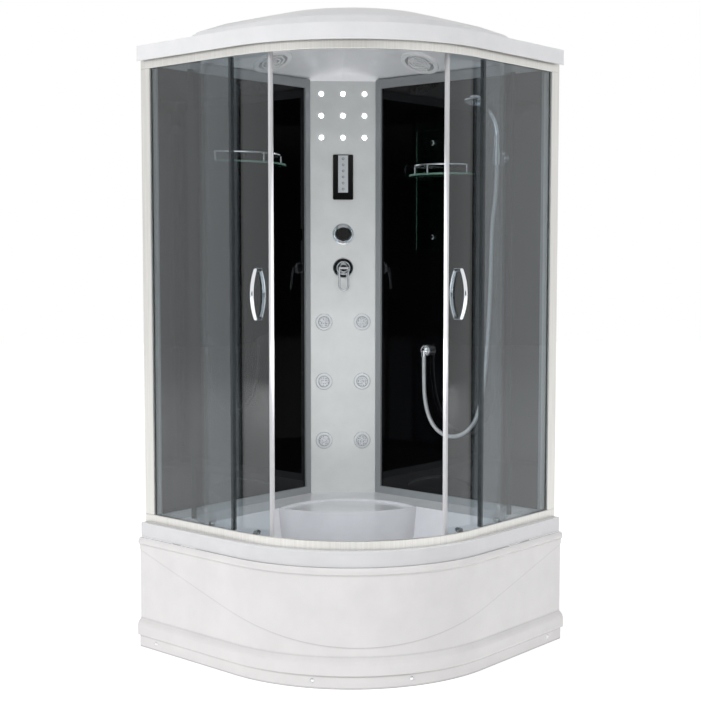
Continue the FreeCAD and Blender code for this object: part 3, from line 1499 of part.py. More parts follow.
def make_hose():
    """Flexible hose: straight runs joined by tangent arcs."""
    points = hose_points()
    edges = []
    last = points[0]
    for before, corner, after in zip(points, points[1:], points[2:]):
        into = before - corner
        away = after - corner
        turn_angle = math.pi - into.getAngle(away)
        shorter = min(into.Length, away.Length)
        reach = 0.45 * shorter
        radius = reach / math.tan(turn_angle / 2)
        start = corner + into.normalize() * reach
        end = corner + away.normalize() * reach
        middle_way = (into + away).normalize()
        centre_distance = radius / math.cos(turn_angle / 2)
        middle = corner + middle_way * (centre_distance - radius)
        edges.append(Part.LineSegment(last, start).toShape())
        edges.append(Part.Arc(start, middle, end).toShape())
        last = end
    edges.append(Part.LineSegment(last, points[-1]).toShape())
    route = Part.Wire(edges)
    section = Part.Wire([Part.Circle(points[0], points[1] - points[0], size("hose_radius")).toShape()])
    hose = named("Part::Feature", "shower_hose")
    tube = route.makePipeShell([section], True, False)
    hose.Shape = tube
    expected = math.pi * size("hose_radius") ** 2 * route.Length
    if abs(tube.Volume - expected) > 0.02 * expected:
        raise ValueError("shower_hose: the tube's volume does not match its length")
    return hose


def make_hand_shower():
    """Handset: a tapered tail in the holder, a curved handle and a round head."""
    body = new_body("shower_handle")
    bend = "handset_bend"
    grip = new_sketch(body, lift="handset_low")
    ring(grip, "0", "-holder_offset", "handset_grip")
    path = new_sketch(body, "YZ_Plane")
    sweep_angle = "80"
    draw(path, [
        ("-holder_offset", "handset_low"),
        ("-holder_offset", "handset_low + handset_straight", bend, 1),
        (f"-holder_offset - {bend} * (1 - cos({sweep_angle}))",
         f"handset_low + handset_straight + {bend} * sin({sweep_angle})"),
        (f"-holder_offset - {bend} * (1 - cos({sweep_angle})) - head_depth * sin({sweep_angle})",
         f"handset_low + handset_straight + {bend} * sin({sweep_angle}) + head_depth * cos({sweep_angle})"),
    ], closed=False)
    sweep(body, grip, path)
    tail = new_sketch(body, lift="handset_low")
    ring(tail, "0", "-holder_offset", "handset_tail")
    pad(body, tail, "handset_tail * 4")
    body.Placement = wall_place("shower_along", "0", "0", RIGHT)
    tilt = 12.5
    head = turned("shower_head", [
        ("-head_depth / 2", "0"),
        ("-head_depth / 2", "head_radius / 2", "head_radius * 1.2", 1),
        ("head_depth / 4", "head_radius"),
        ("head_depth / 2", "head_radius"),
        ("head_depth / 2", "head_radius - edge"),
        ("head_depth / 2 - 1", "head_radius - edge"),
        ("head_depth / 2 - 1", "0"),
    ], Placement(Vector(0, 0, 0), Rotation(ACROSS, 90 - tilt)))
    nozzles = new_sketch(head, "XZ_Plane", lift="head_depth / 2 - 1.2")
    for count, radius in ((6, "head_radius * 0.25"), (12, "head_radius * 0.5"), (18, "head_radius * 0.75")):
        for step in range(count):
            angle = 360 * step / count
            ring(nozzles, f"{radius} * cos({angle})", f"{radius} * sin({angle})", "nozzle")
    pad(head, nozzles, "nozzle * 2")
    head.Placement = wall_place("shower_along", "head_offset", "head_height", RIGHT).multiply(head.Placement)
    return fuse("hand_shower", [body, head])


def make_holder():
    """Wall bracket with a slotted cup that holds the handset's tail."""
    reach = f"(holder_offset - {PANEL_FACE})"
    rose = turned("holder_rose", [
        ("0", "0"),
        ("0", "holder_rose_radius"),
        ("edge", "holder_rose_radius"),
        ("edge * 2", "holder_rose_radius / 2"),
        (f"{reach} - handset_tail - edge / 2", "holder_rose_radius / 2"),
        (f"{reach} - handset_tail - edge / 2", "0"),
    ], Placement())
    cup = rod("handset_tail + edge", "holder_cup", "0", f"-{reach}", "-holder_cup / 2")
    blank = fuse("holder_blank", [rose, cup])
    bore = rod("handset_tail + fit", "holder_cup * 2", "0", f"-{reach}", "-holder_cup")
    slot = solid_box("2 * hose_radius + 2", "handset_tail * 2", "holder_cup * 2", "0",
                     f"-{reach} - handset_tail", "-holder_cup")
    holder = carve("shower_holder", blank, [bore, slot])
    holder.Placement = wall_place("shower_along", PANEL_FACE, "holder_height", RIGHT)
    return holder


# ---------------------------------------------------------------- shelves
def shelf_outline(half, inset="0"):
    """D-shaped outline: straight ends square to the wall and a bowed front."""
    bow = f"(({half} - {inset}) * ({half} - {inset}) + shelf_bow * shelf_bow) / (2 * shelf_bow)"
    return [
        (f"-{half} + {inset}", "0"),
        (f"-{half} + {inset}", f"-shelf_side + {inset}", bow, 1),
        (f"{half} - {inset}", f"-shelf_side + {inset}"),
        (f"{half} - {inset}", "0"),
    ]


def make_shelf(name, side, stand):
    """Shelf of clear glass and its gallery: rail, posts and the brackets under the glass."""
    half = f"{name}_shelf_half"
    place = wall_place(f"{name}_shelf_along", stand, f"{name}_shelf_height", side)
    pane = new_body(f"{name}_shelf_glass")
    outline = new_sketch(pane)
    draw(outline, shelf_outline(half))
    pad(pane, outline, "shelf_glass")
    pane.Placement = place
    gallery = new_body(f"{name}_gallery")
    section = new_sketch(gallery, "XZ_Plane")
    ring(section, f"-{half} + rail_inset", "shelf_glass + rail_rise", "rail_wire")
    path = new_sketch(gallery, lift="shelf_glass + rail_rise")
    draw(path, shelf_outline(half, "rail_inset"), closed=False)
    sweep(gallery, section, path)
    posts = new_sketch(gallery, lift="shelf_glass")
    for across, back in ((f"-{half} + rail_inset", "-shelf_side + rail_inset"),
                         ("0", "-shelf_side - shelf_bow + rail_inset"),
                         (f"{half} - rail_inset", "-shelf_side + rail_inset")):
        ring(posts, across, back, "rail_wire")
    pad(gallery, posts, "rail_rise")
    gallery.Placement = place
    brackets = []
    for sign in (LEFT, RIGHT):
        brackets.append(solid_box("bracket_width", "shelf_side / 2", "bracket_width",
                                  f"{sign} * {half} * 0.72", "-shelf_side / 4", "-bracket_width"))
    supports = group(f"{name}_brackets", brackets)
    supports.Placement = place
    return pane, gallery, supports


def make_left_shelf():
    pane, gallery, supports = make_shelf("left", LEFT, PANEL_FACE)
    return [pane, group("left_shelf_rail", [gallery, supports])]


def make_right_shelf():
    stand = f"{PANEL_FACE} + plate_stand + glass"
    pane, gallery, supports = make_shelf("right", RIGHT, stand)
    plate = new_body("right_shelf_plate")
    face = new_sketch(plate, "XZ_Plane", lift="plate_stand")
    draw(face, box_corners("-plate_half", "0", "plate_half", "plate_height"))
    for height in ("plate_screw - plate_low", "plate_screw + plate_screw_rise - plate_low"):
        ring(face, "0", height, "shaft + fit")
    pad(plate, face, "glass")
    plate.Placement = wall_place("plate_along", PANEL_FACE, "plate_low", RIGHT)
    screws = []
    for number, height in enumerate(("plate_screw", "plate_screw + plate_screw_rise"), start=1):
        screws.append(turned(f"plate_screw_{number}", [
            ("0", "0"),
            ("0", "cap_radius + 1"),
            ("plate_stand", "cap_radius + 1"),
            ("plate_stand", "shaft"),
            ("plate_stand + glass", "shaft"),
            ("plate_stand + glass", "cap_radius + 1"),
            ("plate_stand + glass + edge", "cap_radius - 1"),
            ("plate_stand + glass + edge", "0"),
        ], wall_place("plate_along", PANEL_FACE, height, RIGHT)))
    return [pane, plate, group("right_shelf_rail", [gallery, supports] + screws)]


# ---------------------------------------------------------------- roof
def make_canopy():
    """Moulded roof: an upright face round the front, a level rim and a raised vault."""
    body = new_body("roof_moulding")
    face = new_sketch(body, lift="canopy_bottom")
    draw(face, quadrant_band("canopy_reach", "canopy_reach - canopy_wall", "0"))
    pad(body, face, "canopy_height")
    rim = new_sketch(body, lift="canopy_top - canopy_wall")
    draw(rim, quadrant("canopy_reach", "0"))
    pad(body, rim, "canopy_wall")
    sections = (("vault_reach", "0", "0"),
                ("shoulder_reach", "shoulder_offset", "shoulder_rise"),
                ("crest_reach", "crest_offset", "crest_rise"),
                ("roof_reach", "roof_offset", "roof_rise"))

    def vault(kind, shrink):
        sketches = []
        for reach, offset, rise in sections:
            lift = f"wall_top + {rise} - {shrink}" if rise != "0" else "wall_top"
            section = new_sketch(body, lift=lift)
            draw(section, quadrant(f"({reach} - {shrink})", f"({offset} + {shrink})"))
            sketches.append(section)
        loft = body.newObject(kind, "roof_vault")
        loft.Profile = sketches[0]
        loft.Sections = sketches[1:]
        loft.Ruled = True
        doc.recompute()

    vault("PartDesign::AdditiveLoft", "0")
    vault("PartDesign::SubtractiveLoft", "canopy_wall")
    tools = []
    for name, side in SIDES:
        throat = rod("fitting_bore + edge + fit", "fitting_length * 4", "0", "0", "-fitting_length * 2")
        tool = group(f"{name}_fitting_hole", [throat])
        tool.Placement = fitting_place(side)
        tools.append(tool)
    return carve("roof_canopy", body, tools)


def fitting_place(side):
    """On the underside of the vault, with +Z pointing up through the roof."""
    slope = "(shoulder_rise - canopy_wall) / shoulder_offset"
    pitch = math.degrees(math.atan(size(slope)))
    ceiling = f"wall_top + (fitting_offset - canopy_wall) * {slope}"
    place = wall_place("fitting_along", "fitting_offset", ceiling, side)
    return place.multiply(Placement(Vector(0, 0, 0), Rotation(ACROSS, -pitch)))


def make_fittings():
    """Fan on the left and speaker on the right, each a ringed grille set in the roof."""
    fittings = []
    for name, side in SIDES:
        body = new_body(f"{name}_ceiling_fitting")
        outline = new_sketch(body, "XZ_Plane")
        draw(outline, [
            ("fitting_bore", "-fitting_rim"),
            ("fitting_radius - edge", "-fitting_rim"),
            ("fitting_radius", "-fit"),
            ("fitting_bore + edge", "-fit"),
            ("fitting_bore + edge", "fitting_length"),
            ("fitting_bore", "fitting_length"),
        ])
        turn(body, outline)
        doc.recompute()
        for radius in ("fitting_bore * 0.22", "fitting_bore * 0.48", "fitting_bore * 0.74"):
            circle = new_sketch(body, "XZ_Plane")
            draw(circle, box_corners(f"{radius} - edge", "-fitting_rim", f"{radius} + edge",
                                     "-fitting_rim + edge"))
            turn(body, circle)
        bars = new_sketch(body, lift="-fitting_rim")
        draw(bars, box_corners("-fitting_bore - edge / 2", "-edge / 2", "fitting_bore + edge / 2", "edge / 2"))
        pad(body, bars, "edge")
        cross = new_sketch(body, lift="-fitting_rim")
        draw(cross, box_corners("-edge / 2", "-fitting_bore - edge / 2", "edge / 2",
                                "fitting_bore + edge / 2"))
        pad(body, cross, "edge")
        back = new_sketch(body, lift="fitting_length - edge")
        ring(back, "0", "0", "fitting_bore + edge / 2")
        pad(body, back, "edge")
        if side == LEFT:
            spindle = new_sketch(body, lift="fitting_length / 3")
            ring(spindle, "0", "0", "axle_radius")
            pad(body, spindle, "fitting_length * 2 / 3 - edge / 2")
        else:
            cone = new_sketch(body, lift="0")
            ring(cone, "0", "0", "fan_radius - edge")
            pad(body, cone, "fitting_length / 4")
            magnet = new_sketch(body, lift="fitting_length / 5")
            ring(magnet, "0", "0", "fitting_bore / 3")
            pad(body, magnet, "fitting_length * 0.7")
        body.Placement = fitting_place(side)
        fittings.append(body)
    return group("ceiling_fittings", fittings)


def make_fan():
    """Fan wheel: a hub turning on the fitting's spindle, with seven blades."""
    body = new_body("fan_impeller")
    hub = new_sketch(body, lift="fitting_length / 5")
    ring(hub, "0", "0", "axle_radius * 4")
    pad(body, hub, "fitting_length / 3")
    blade = new_sketch(body, lift="fitting_length / 5")
    draw(blade, box_corners("axle_radius * 2", "-edge / 4", "fan_radius", "edge / 4"))
    vane = pad(body, blade, "fitting_length / 3")
    pattern = body.newObject("PartDesign::PolarPattern", "fan_blades")
    pattern.Originals = [vane]
    pattern.Axis = (blade, ["N_Axis"])
    pattern.Angle = 360
    pattern.Occurrences = 7
    body.Tip = pattern
    doc.recompute()
    bore = new_sketch(body, lift="fitting_length")
    ring(bore, "0", "0", "axle_radius + running_fit")
    cut(body, bore, "fitting_length * 2")
    body.Placement = fitting_place(LEFT)
    return body


# ---------------------------------------------------------------- whole cabin
def drill_skirt_screws(label, base):
    drills = []
    for across, back, heading in screw_places():
        drill = doc.addObject("Part::Cylinder", "screw_drill")
        bind(drill, "Radius", "screw_head / 3 + fit")
        bind(drill, "Height", "screw_head * 6")
        spin = Rotation(Vector(0, 0, 1), heading)
        place = Placement(Vector(size(across), size(back), size("screw_height")), spin)
        drill.Placement = place.multiply(Placement(Vector(0, -5, 0), Rotation(Vector(0, 0, 1), INTO)))
        drills.append(drill)
    return carve(label, base, drills)


def make_all():
    made = [make_tray(), make_skirt(), make_skirt_screws(), make_feet(),
            drill_skirt_screws("tray_frame", make_frame_bars())]
    made += make_drain()
    made += [make_bottom_rail(), make_top_rail(), make_posts(), make_pane_seals()]
    for name, side in SIDES:
        made += [make_fixed_pane(name, side), make_door_glass(name, side), make_door_stile(name, side),
                 make_rear_seal(name, side), make_handle(name, side), make_carriers(name, side),
                 make_wheel(f"{name}_front_wheel", side, "front_roller"),
                 make_wheel(f"{name}_rear_wheel", side, "front_roller + roller_span"),
                 make_wall_frame(name, side), make_wall_panel(name, side)]
    made += [make_column(), make_leds(), make_control_panel(), make_keypad()]
    made += make_selector() + make_mixer() + make_jets()
    made += [make_valve_block(), make_hose_outlet(), make_hose(), make_hand_shower(), make_holder()]
    made += make_left_shelf() + make_right_shelf()
    made += [make_canopy(), make_fittings(), make_fan()]
    return made


nodes = make_all()
doc.recompute()
for thing in doc.Objects:
    if {"Invalid", "Error"} & set(thing.State):
        raise ValueError(f"{thing.Label} did not build: {thing.State}")
os.makedirs("parts", exist_ok=True)
for node in nodes:
    shape = node.Shape
    if shape.isNull() or not shape.isValid() or not shape.Solids:
        raise ValueError(f"{node.Label} is not a valid solid")
    shape.exportStep(f"parts/{node.Label}.step")
    box = shape.BoundBox
    print(f"{node.Label}: {len(shape.Solids)} solids, {shape.Volume:.0f} mm3, "
          f"x {box.XMin:.1f} {box.XMax:.1f}, y {box.YMin:.1f} {box.YMax:.1f}, z {box.ZMin:.1f} {box.ZMax:.1f}")
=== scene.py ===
import json
import math
import bmesh
import bpy
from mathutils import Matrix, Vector


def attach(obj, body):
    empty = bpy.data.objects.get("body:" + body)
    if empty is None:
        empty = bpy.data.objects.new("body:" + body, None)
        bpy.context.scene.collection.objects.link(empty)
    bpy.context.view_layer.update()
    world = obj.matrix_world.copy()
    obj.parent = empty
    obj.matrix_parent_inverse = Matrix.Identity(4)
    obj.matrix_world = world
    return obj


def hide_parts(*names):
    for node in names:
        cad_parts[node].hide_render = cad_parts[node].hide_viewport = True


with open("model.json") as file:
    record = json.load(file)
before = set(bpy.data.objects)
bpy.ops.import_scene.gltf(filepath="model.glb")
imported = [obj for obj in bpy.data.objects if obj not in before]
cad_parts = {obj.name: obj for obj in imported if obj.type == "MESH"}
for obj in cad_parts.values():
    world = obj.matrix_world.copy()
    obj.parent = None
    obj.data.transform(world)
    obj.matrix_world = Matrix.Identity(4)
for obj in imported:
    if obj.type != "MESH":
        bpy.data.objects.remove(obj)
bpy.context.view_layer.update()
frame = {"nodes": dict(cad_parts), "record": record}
nodes = frame["nodes"]
body_of_node = {name: body for body, names in frame["record"]["behaviour"]["bodies"].items()
                for name in names}
slot_of_node = {part["node"]: part["material_slot"] for part in frame["record"]["subparts"]}

# ---------------------------------------------------------------- sizes in metres, angles in degrees
GLASS_INDEX = 1.5
EDGE_SHARE = 0.4
FLAT_UP = (0, 0, 1)
FLAT_TO_WALL = (0.7071, 0.7071, 0)

KEY_PITCH = 0.022
KEY_RING = 0.0036
KEY_RING_LINE = 0.0009
keypad_heights = [vertex.co.z for vertex in nodes["control_keypad"].data.vertices]
KEY_MIDDLE = (min(keypad_heights) + max(keypad_heights)) / 2 + KEY_PITCH / 2

NOZZLE_PITCH = 0.0062
NOZZLE_RADIUS = 0.0019
NOZZLE_SCATTER = 0.35
SKIRT_SHADOW_REACH = 0.008
LENS_GLOW = 14.0

HOSE_DIAMETER = 0.014
HOSE_TURN = 0.004
HOSE_SIDES = 20
HOSE_RIDGE = 0.0008

MERGE_REACH = 0.00002
FLAT_ANGLE = 0.2
SMOOTH_ANGLE = 30.0

CAMERA_PLACE = (-0.269, -4.338, 1.281)
CAMERA_DIP = 4.13
CAMERA_TURN = -3.55
CAMERA_LENS_MM = 66.6
CAMERA_SENSOR_MM = 36

FLOOR_SIDE = 30
PAPER_GLOW = 0.68
ROOM_LIGHT = 0.36
DARK_ROOM_HEADING = (-0.06, -1.0, 0.0)
DARK_ROOM_SPREAD = (0.5, 1.0, 0.1)
DARK_ROOM_CORE = 0.6
DARK_ROOM_EDGE = 1.2

# ---------------------------------------------------------------- camera
bpy.ops.object.camera_add(location=CAMERA_PLACE,
                          rotation=(math.radians(90 - CAMERA_DIP), 0, math.radians(CAMERA_TURN)))
camera = bpy.context.object
camera.data.sensor_width = CAMERA_SENSOR_MM
camera.data.lens = CAMERA_LENS_MM
bpy.context.scene.camera = camera


# ---------------------------------------------------------------- colour and node helpers
def from_hex(code):
    """An sRGB hex colour as linear values with alpha."""
    values = []
    for place in (0, 2, 4):
        part = int(code[place:place + 2], 16) / 255
        values.append(part / 12.92 if part <= 0.04045 else ((part + 0.055) / 1.055) ** 2.4)
    return (*values, 1)


def add(tree, kind, links=None, **settings):
    """Adds a node with its settings, socket values and incoming links."""
    made = tree.nodes.new(kind)
    for key, value in settings.items():
        if hasattr(made, key):
            setattr(made, key, value)
        else:
            made.inputs[key.replace("_", " ")].default_value = value
    for key, source in (links or {}).items():
        tree.links.new(source, made.inputs[key])
    return made


def surface(name, colour, metallic=0.0, roughness=0.4, coat=0.0):
    """A material with its Principled shader set, and that shader."""
    material = bpy.data.materials.new(name)
    material.use_nodes = True
    material.diffuse_color = from_hex(colour)
    shader = material.node_tree.nodes["Principled BSDF"]
    shader.inputs["Base Color"].default_value = from_hex(colour)
    shader.inputs["Metallic"].default_value = metallic
    shader.inputs["Roughness"].default_value = roughness
    shader.inputs["Coat Weight"].default_value = coat
    shader.inputs["Coat Roughness"].default_value = 0.06
    return material, shader


def mottle(material, shader, size, depth, colours=None, roughness=None, stretch=(1, 1, 1)):
    """Object-space noise of a real size in metres: relief, and slight change of colour or gloss."""
    tree = material.node_tree
    place = add(tree, "ShaderNodeTexCoord")
    scale = add(tree, "ShaderNodeMapping", {"Vector": place.outputs["Object"]},
                Scale=[1 / (size * part) for part in stretch])
    noise = add(tree, "ShaderNodeTexNoise", {"Vector": scale.outputs["Vector"]},
                Scale=1.0, Detail=3.0, Roughness=0.55)
    if depth:
        relief = add(tree, "ShaderNodeBump", {"Height": noise.outputs["Fac"]},
                     Strength=0.4, Distance=depth)
        tree.links.new(relief.outputs["Normal"], shader.inputs["Normal"])
    if colours:
        ramp = add(tree, "ShaderNodeValToRGB", {"Fac": noise.outputs["Fac"]})
        ramp.color_ramp.elements[0].position = 0.3
        ramp.color_ramp.elements[0].color = from_hex(colours[0])
        ramp.color_ramp.elements[1].position = 0.7
        ramp.color_ramp.elements[1].color = from_hex(colours[1])
        tree.links.new(ramp.outputs["Color"], shader.inputs["Base Color"])
    if roughness:
        gloss = add(tree, "ShaderNodeMapRange", {"Value": noise.outputs["Fac"]},
                    To_Min=roughness[0], To_Max=roughness[1])
        tree.links.new(gloss.outputs["Result"], shader.inputs["Roughness"])
    return noise


def paint_corner_shade(material, shader, reach):
    """Painted shade: an ambient-occlusion node darkens the base colour in corners and beside steps,
    no wider than their reach in metres.
    """
    tree = material.node_tree
    colour = shader.inputs["Base Color"].links[0].from_socket
    shade = add(tree, "ShaderNodeAmbientOcclusion", {"Color": colour}, samples=8, Distance=reach)
    tree.links.new(shade.outputs["Color"], shader.inputs["Base Color"])


# ---------------------------------------------------------------- materials
def acrylic_sheet(name, light, dark, roughness=0.2, coat=0.3, shadow_reach=0.0):
    """Vacuum-formed cast acrylic: a deep gloss over a faint, broad unevenness."""
    material, shader = surface(name, light, roughness=roughness, coat=coat)
    mottle(material, shader, 0.09, 0.0004, (dark, light), (roughness - 0.04, roughness + 0.04))
    # with a shadow reach, shade is painted into the colour in corners and beside steps
    if shadow_reach:
        paint_corner_shade(material, shader, shadow_reach)
    return material


def anodised_aluminium():
    """Extruded and satin anodised: fine die lines along the bar, soft metal sheen."""
    material, shader = surface("satin_anodised_aluminium", "D9D8D4", metallic=0.85, roughness=0.34)
    mottle(material, shader, 0.004, 0.00006, ("D1D0CC", "DEDDD9"), (0.3, 0.4), (1, 1, 60))
    return material


def polished_chrome():
    """Chromium plate on brass: a clean mirror with the least haze."""
    material, shader = surface("polished_chrome_plate", "E4E6E9", metallic=1.0, roughness=0.05)
    mottle(material, shader, 0.03, 0.00002, None, (0.035, 0.075))
    return material


def tempered_glass(name, tint, edge_colour=None, flat=FLAT_UP):
    """Float glass: sees through with a light tint, mirrors the room at its faces and, where an
    edge colour is given, shows green at its ground edges, square to the flat faces' direction."""
    material = bpy.data.materials.new(name)
    material.use_nodes = True
    material.diffuse_color = from_hex(tint)
    tree = material.node_tree
    shader = tree.nodes["Principled BSDF"]
    shader.inputs["Base Color"].default_value = (1, 1, 1, 1)
    shader.inputs["Metallic"].default_value = 1.0
    shader.inputs["Roughness"].default_value = 0.02
    clear = add(tree, "ShaderNodeBsdfTransparent", Color=from_hex(tint))
    side = add(tree, "ShaderNodeNewGeometry")
    index = add(tree, "ShaderNodeMapRange", {"Value": side.outputs["Backfacing"]},
                To_Min=GLASS_INDEX, To_Max=1 / GLASS_INDEX)
    edge = add(tree, "ShaderNodeFresnel", {"IOR": index.outputs["Result"]})
    blend = add(tree, "ShaderNodeMixShader", {"Fac": edge.outputs["Fac"],
                                              1: clear.outputs["BSDF"], 2: shader.outputs["BSDF"]})
    if edge_colour:
        ground = add(tree, "ShaderNodeBsdfDiffuse", Color=from_hex(edge_colour))
        facing = add(tree, "ShaderNodeVectorMath", {0: side.outputs["True Normal"]},
                     operation="DOT_PRODUCT")
        facing.inputs[1].default_value = flat
        square = add(tree, "ShaderNodeMath", {0: facing.outputs["Value"]}, operation="ABSOLUTE")
        rim = add(tree, "ShaderNodeMath", {0: square.outputs["Value"]}, operation="LESS_THAN")
        rim.inputs[1].default_value = 0.5
        share = add(tree, "ShaderNodeMath", {0: rim.outputs["Value"]}, operation="MULTIPLY")
        share.inputs[1].default_value = EDGE_SHARE
        blend = add(tree, "ShaderNodeMixShader", {"Fac": share.outputs["Value"],
                                                  1: blend.outputs["Shader"],
                                                  2: ground.outputs["BSDF"]})
    tree.links.new(blend.outputs["Shader"], tree.nodes["Material Output"].inputs["Surface"])
    return material


def black_glass():
    """Back-painted float glass: black under a polished face."""
    material, shader = surface("back_painted_black_glass", "030304", roughness=0.03)
    mottle(material, shader, 0.4, 0.0, None, (0.02, 0.05))
    return material


def glowing_lens():
    """Frosted lens lit from behind by a cool white diode."""
    material, shader = surface("frosted_lamp_lens", "F4F6FF", roughness=0.3)
    shader.inputs["Emission Color"].default_value = from_hex("F2F5FF")
    shader.inputs["Emission Strength"].default_value = LENS_GLOW
    mottle(material, shader, 0.002, 0.00005)
    return material


def moulded_plastic(name, light, dark, roughness, grain=0.0008):
    """Injection-moulded plastic with a fine spark-eroded grain."""
    material, shader = surface(name, light, roughness=roughness)
    mottle(material, shader, grain, 0.00003, (dark, light), (roughness - 0.05, roughness + 0.05))
    return material


def clear_seal():
    """Soft extruded vinyl, smoky where it lies over the glass."""
    material, shader = surface("smoky_vinyl_seal", "2B3235", roughness=0.3)
    shader.inputs["Alpha"].default_value = 0.6
    mottle(material, shader, 0.006, 0.00005, None, (0.3, 0.42), (1, 1, 30))
    return material


def paint_hole_shade(material, shader, pitch, radius, scatter, colour):
    """Round holes of a real radius, one in each cell of a real pitch, the shade inside each painted
    in a dark colour.
    """
    tree = material.node_tree
    place = add(tree, "ShaderNodeTexCoord")
    cells = add(tree, "ShaderNodeTexVoronoi", {"Vector": place.outputs["Object"]},
                Scale=1 / pitch, Randomness=scatter)
    hole = add(tree, "ShaderNodeMath", {0: cells.outputs["Distance"]}, operation="LESS_THAN")
    hole.inputs[1].default_value = radius / pitch
    paint = add(tree, "ShaderNodeMixRGB", {"Fac": hole.outputs["Value"]})
    paint.inputs["Color1"].default_value = shader.inputs["Base Color"].default_value
    # painted shade: the dark colour stands in for the shade inside each hole
    paint.inputs["Color2"].default_value = from_hex(colour)
    tree.links.new(paint.outputs["Color"], shader.inputs["Base Color"])


def spray_face():
    """Silvered plastic with fine nozzles all over, the shade inside each hole painted dark against
    the bright face.
    """
    material, shader = surface("silvered_spray_face", "DEE1E4", metallic=0.3, roughness=0.22)
    mottle(material, shader, 0.01, 0.00002, None, (0.18, 0.26))
    paint_hole_shade(material, shader, NOZZLE_PITCH, NOZZLE_RADIUS, NOZZLE_SCATTER, "3A4048")
    return material


def key_strip():
    """Silver membrane with a dark ring printed round each key."""
    material, shader = surface("silver_key_membrane", "C4C8CB", metallic=0.3, roughness=0.35)
    mottle(material, shader, 0.0008, 0.00003, None, (0.3, 0.4))
    tree = material.node_tree
    place = add(tree, "ShaderNodeTexCoord")
    split = add(tree, "ShaderNodeSeparateXYZ", {"Vector": place.outputs["Object"]})
    row = add(tree, "ShaderNodeMath", {0: split.outputs["Z"]}, operation="WRAP")
    row.inputs[1].default_value = KEY_MIDDLE + KEY_PITCH / 2
    row.inputs[2].default_value = KEY_MIDDLE - KEY_PITCH / 2
    height = add(tree, "ShaderNodeMath", {0: row.outputs["Value"]}, operation="SUBTRACT")
    height.inputs[1].default_value = KEY_MIDDLE
    spot = add(tree, "ShaderNodeCombineXYZ", {"X": split.outputs["X"],
                                              "Y": height.outputs["Value"]})
    reach = add(tree, "ShaderNodeVectorMath", {0: spot.outputs["Vector"]}, operation="LENGTH")
    ring = add(tree, "ShaderNodeMath", {0: reach.outputs["Value"]}, operation="COMPARE")
    ring.inputs[1].default_value = KEY_RING
    ring.inputs[2].default_value = KEY_RING_LINE
    paint = add(tree, "ShaderNodeMixRGB", {"Fac": ring.outputs["Value"]})
    paint.inputs["Color1"].default_value = from_hex("C4C8CB")
    paint.inputs["Color2"].default_value = from_hex("3B4046")
    tree.links.new(paint.outputs["Color"], shader.inputs["Base Color"])
    return material


def wound_steel_hose():
    """Hose of interlocked stainless steel strip: fine bright ridges, one to each turn of it."""
    material, shader = surface("interlocked_steel_hose", "D6D8DA", metallic=0.6, roughness=0.28)
    tree = material.node_tree
    along = add(tree, "ShaderNodeUVMap", uv_map="along")
    split = add(tree, "ShaderNodeSeparateXYZ", {"Vector": along.outputs["UV"]})
    turns = add(tree, "ShaderNodeMath", {0: split.outputs["X"]}, operation="MULTIPLY")
    turns.inputs[1].default_value = 2 * math.pi / HOSE_TURN
    wave = add(tree, "ShaderNodeMath", {0: turns.outputs["Value"]}, operation="SINE")
    relief = add(tree, "ShaderNodeBump", {"Height": wave.outputs["Value"]},
                 Strength=0.8, Distance=HOSE_RIDGE)
    tree.links.new(relief.outputs["Normal"], shader.inputs["Normal"])
    return material


MATERIALS = {
    "acrylic": acrylic_sheet("vacuum_formed_white_acrylic", "E1E1E4", "DADADD"),
    # the skirt gets painted shade in its corners and along its panel's step
    "skirt_white": acrylic_sheet("formed_white_skirt_acrylic", "E8E6E6", "E2E0E0",
                                 shadow_reach=SKIRT_SHADOW_REACH),
    "roof_white": acrylic_sheet("formed_white_roof_acrylic", "E9E9EB", "E2E3E5", 0.36, 0.0),
    "rail_silver": anodised_aluminium(),
    "clear_glass": tempered_glass("tempered_door_glass", "E6EAEC"),
    "shelf_clear": tempered_glass("clear_shelf_glass", "E4F0EA", "7FA898"),
    "black_glass": black_glass(),
    "frame_grey": moulded_plastic("satin_grey_wall_frame", "979A9C", "8F9294", 0.35),
    "column_white": acrylic_sheet("glossy_white_column", "E2E3E2", "DADCDB"),
    "chrome": polished_chrome(),
    "jet_grey": spray_face(),
    "control_black": moulded_plastic("glossy_black_control_face", "08080A", "050506", 0.12),
    "keypad_silver": key_strip(),
    "knob_black": moulded_plastic("black_selector_moulding", "0A0A0B", "050505", 0.25),
    "seal_clear": clear_seal(),
    "stile_white": moulded_plastic("white_magnetic_stile", "CDCDD0", "C4C4C7", 0.32),
    "wheel_nylon": moulded_plastic("natural_nylon", "E0DED4", "D4D2C8", 0.4),
    "steel_tube": moulded_plastic("galvanised_steel_tube", "9A9DA0", "83868A", 0.45, 0.02),
    "foot_black": moulded_plastic("black_rubber_foot", "1C1C1D", "121213", 0.7),
    "pipe_white": moulded_plastic("white_waste_fitting", "DADAD6", "CFCFCB", 0.4),
    "valve_brass": moulded_plastic("cast_brass_valve", "B89A5E", "A3864E", 0.35, 0.003),
    "hose_steel": wound_steel_hose(),
    "lens": glowing_lens(),
    "fitting_grey": moulded_plastic("pale_ceiling_fitting", "F4F4F5", "ECEDEE", 0.4),
}
brass = MATERIALS["valve_brass"].node_tree.nodes["Principled BSDF"]
brass.inputs["Metallic"].default_value = 1.0
zinc = MATERIALS["steel_tube"].node_tree.nodes["Principled BSDF"]
zinc.inputs["Metallic"].default_value = 0.8
LOOKS = {
    "jet_rims": MATERIALS["jet_grey"],
    "right_shelf_plate": tempered_glass("clear_back_plate_glass", "E4F0EA", "7FA898", FLAT_TO_WALL),
}


def deselect():
    bpy.ops.object.select_all(action="DESELECT")


def pick(piece):
    deselect()
    piece.select_set(True)
    bpy.context.view_layer.objects.active = piece


def apply_all(piece):
    pick(piece)
    for modifier in list(piece.modifiers):
        bpy.ops.object.modifier_apply(modifier=modifier.name)


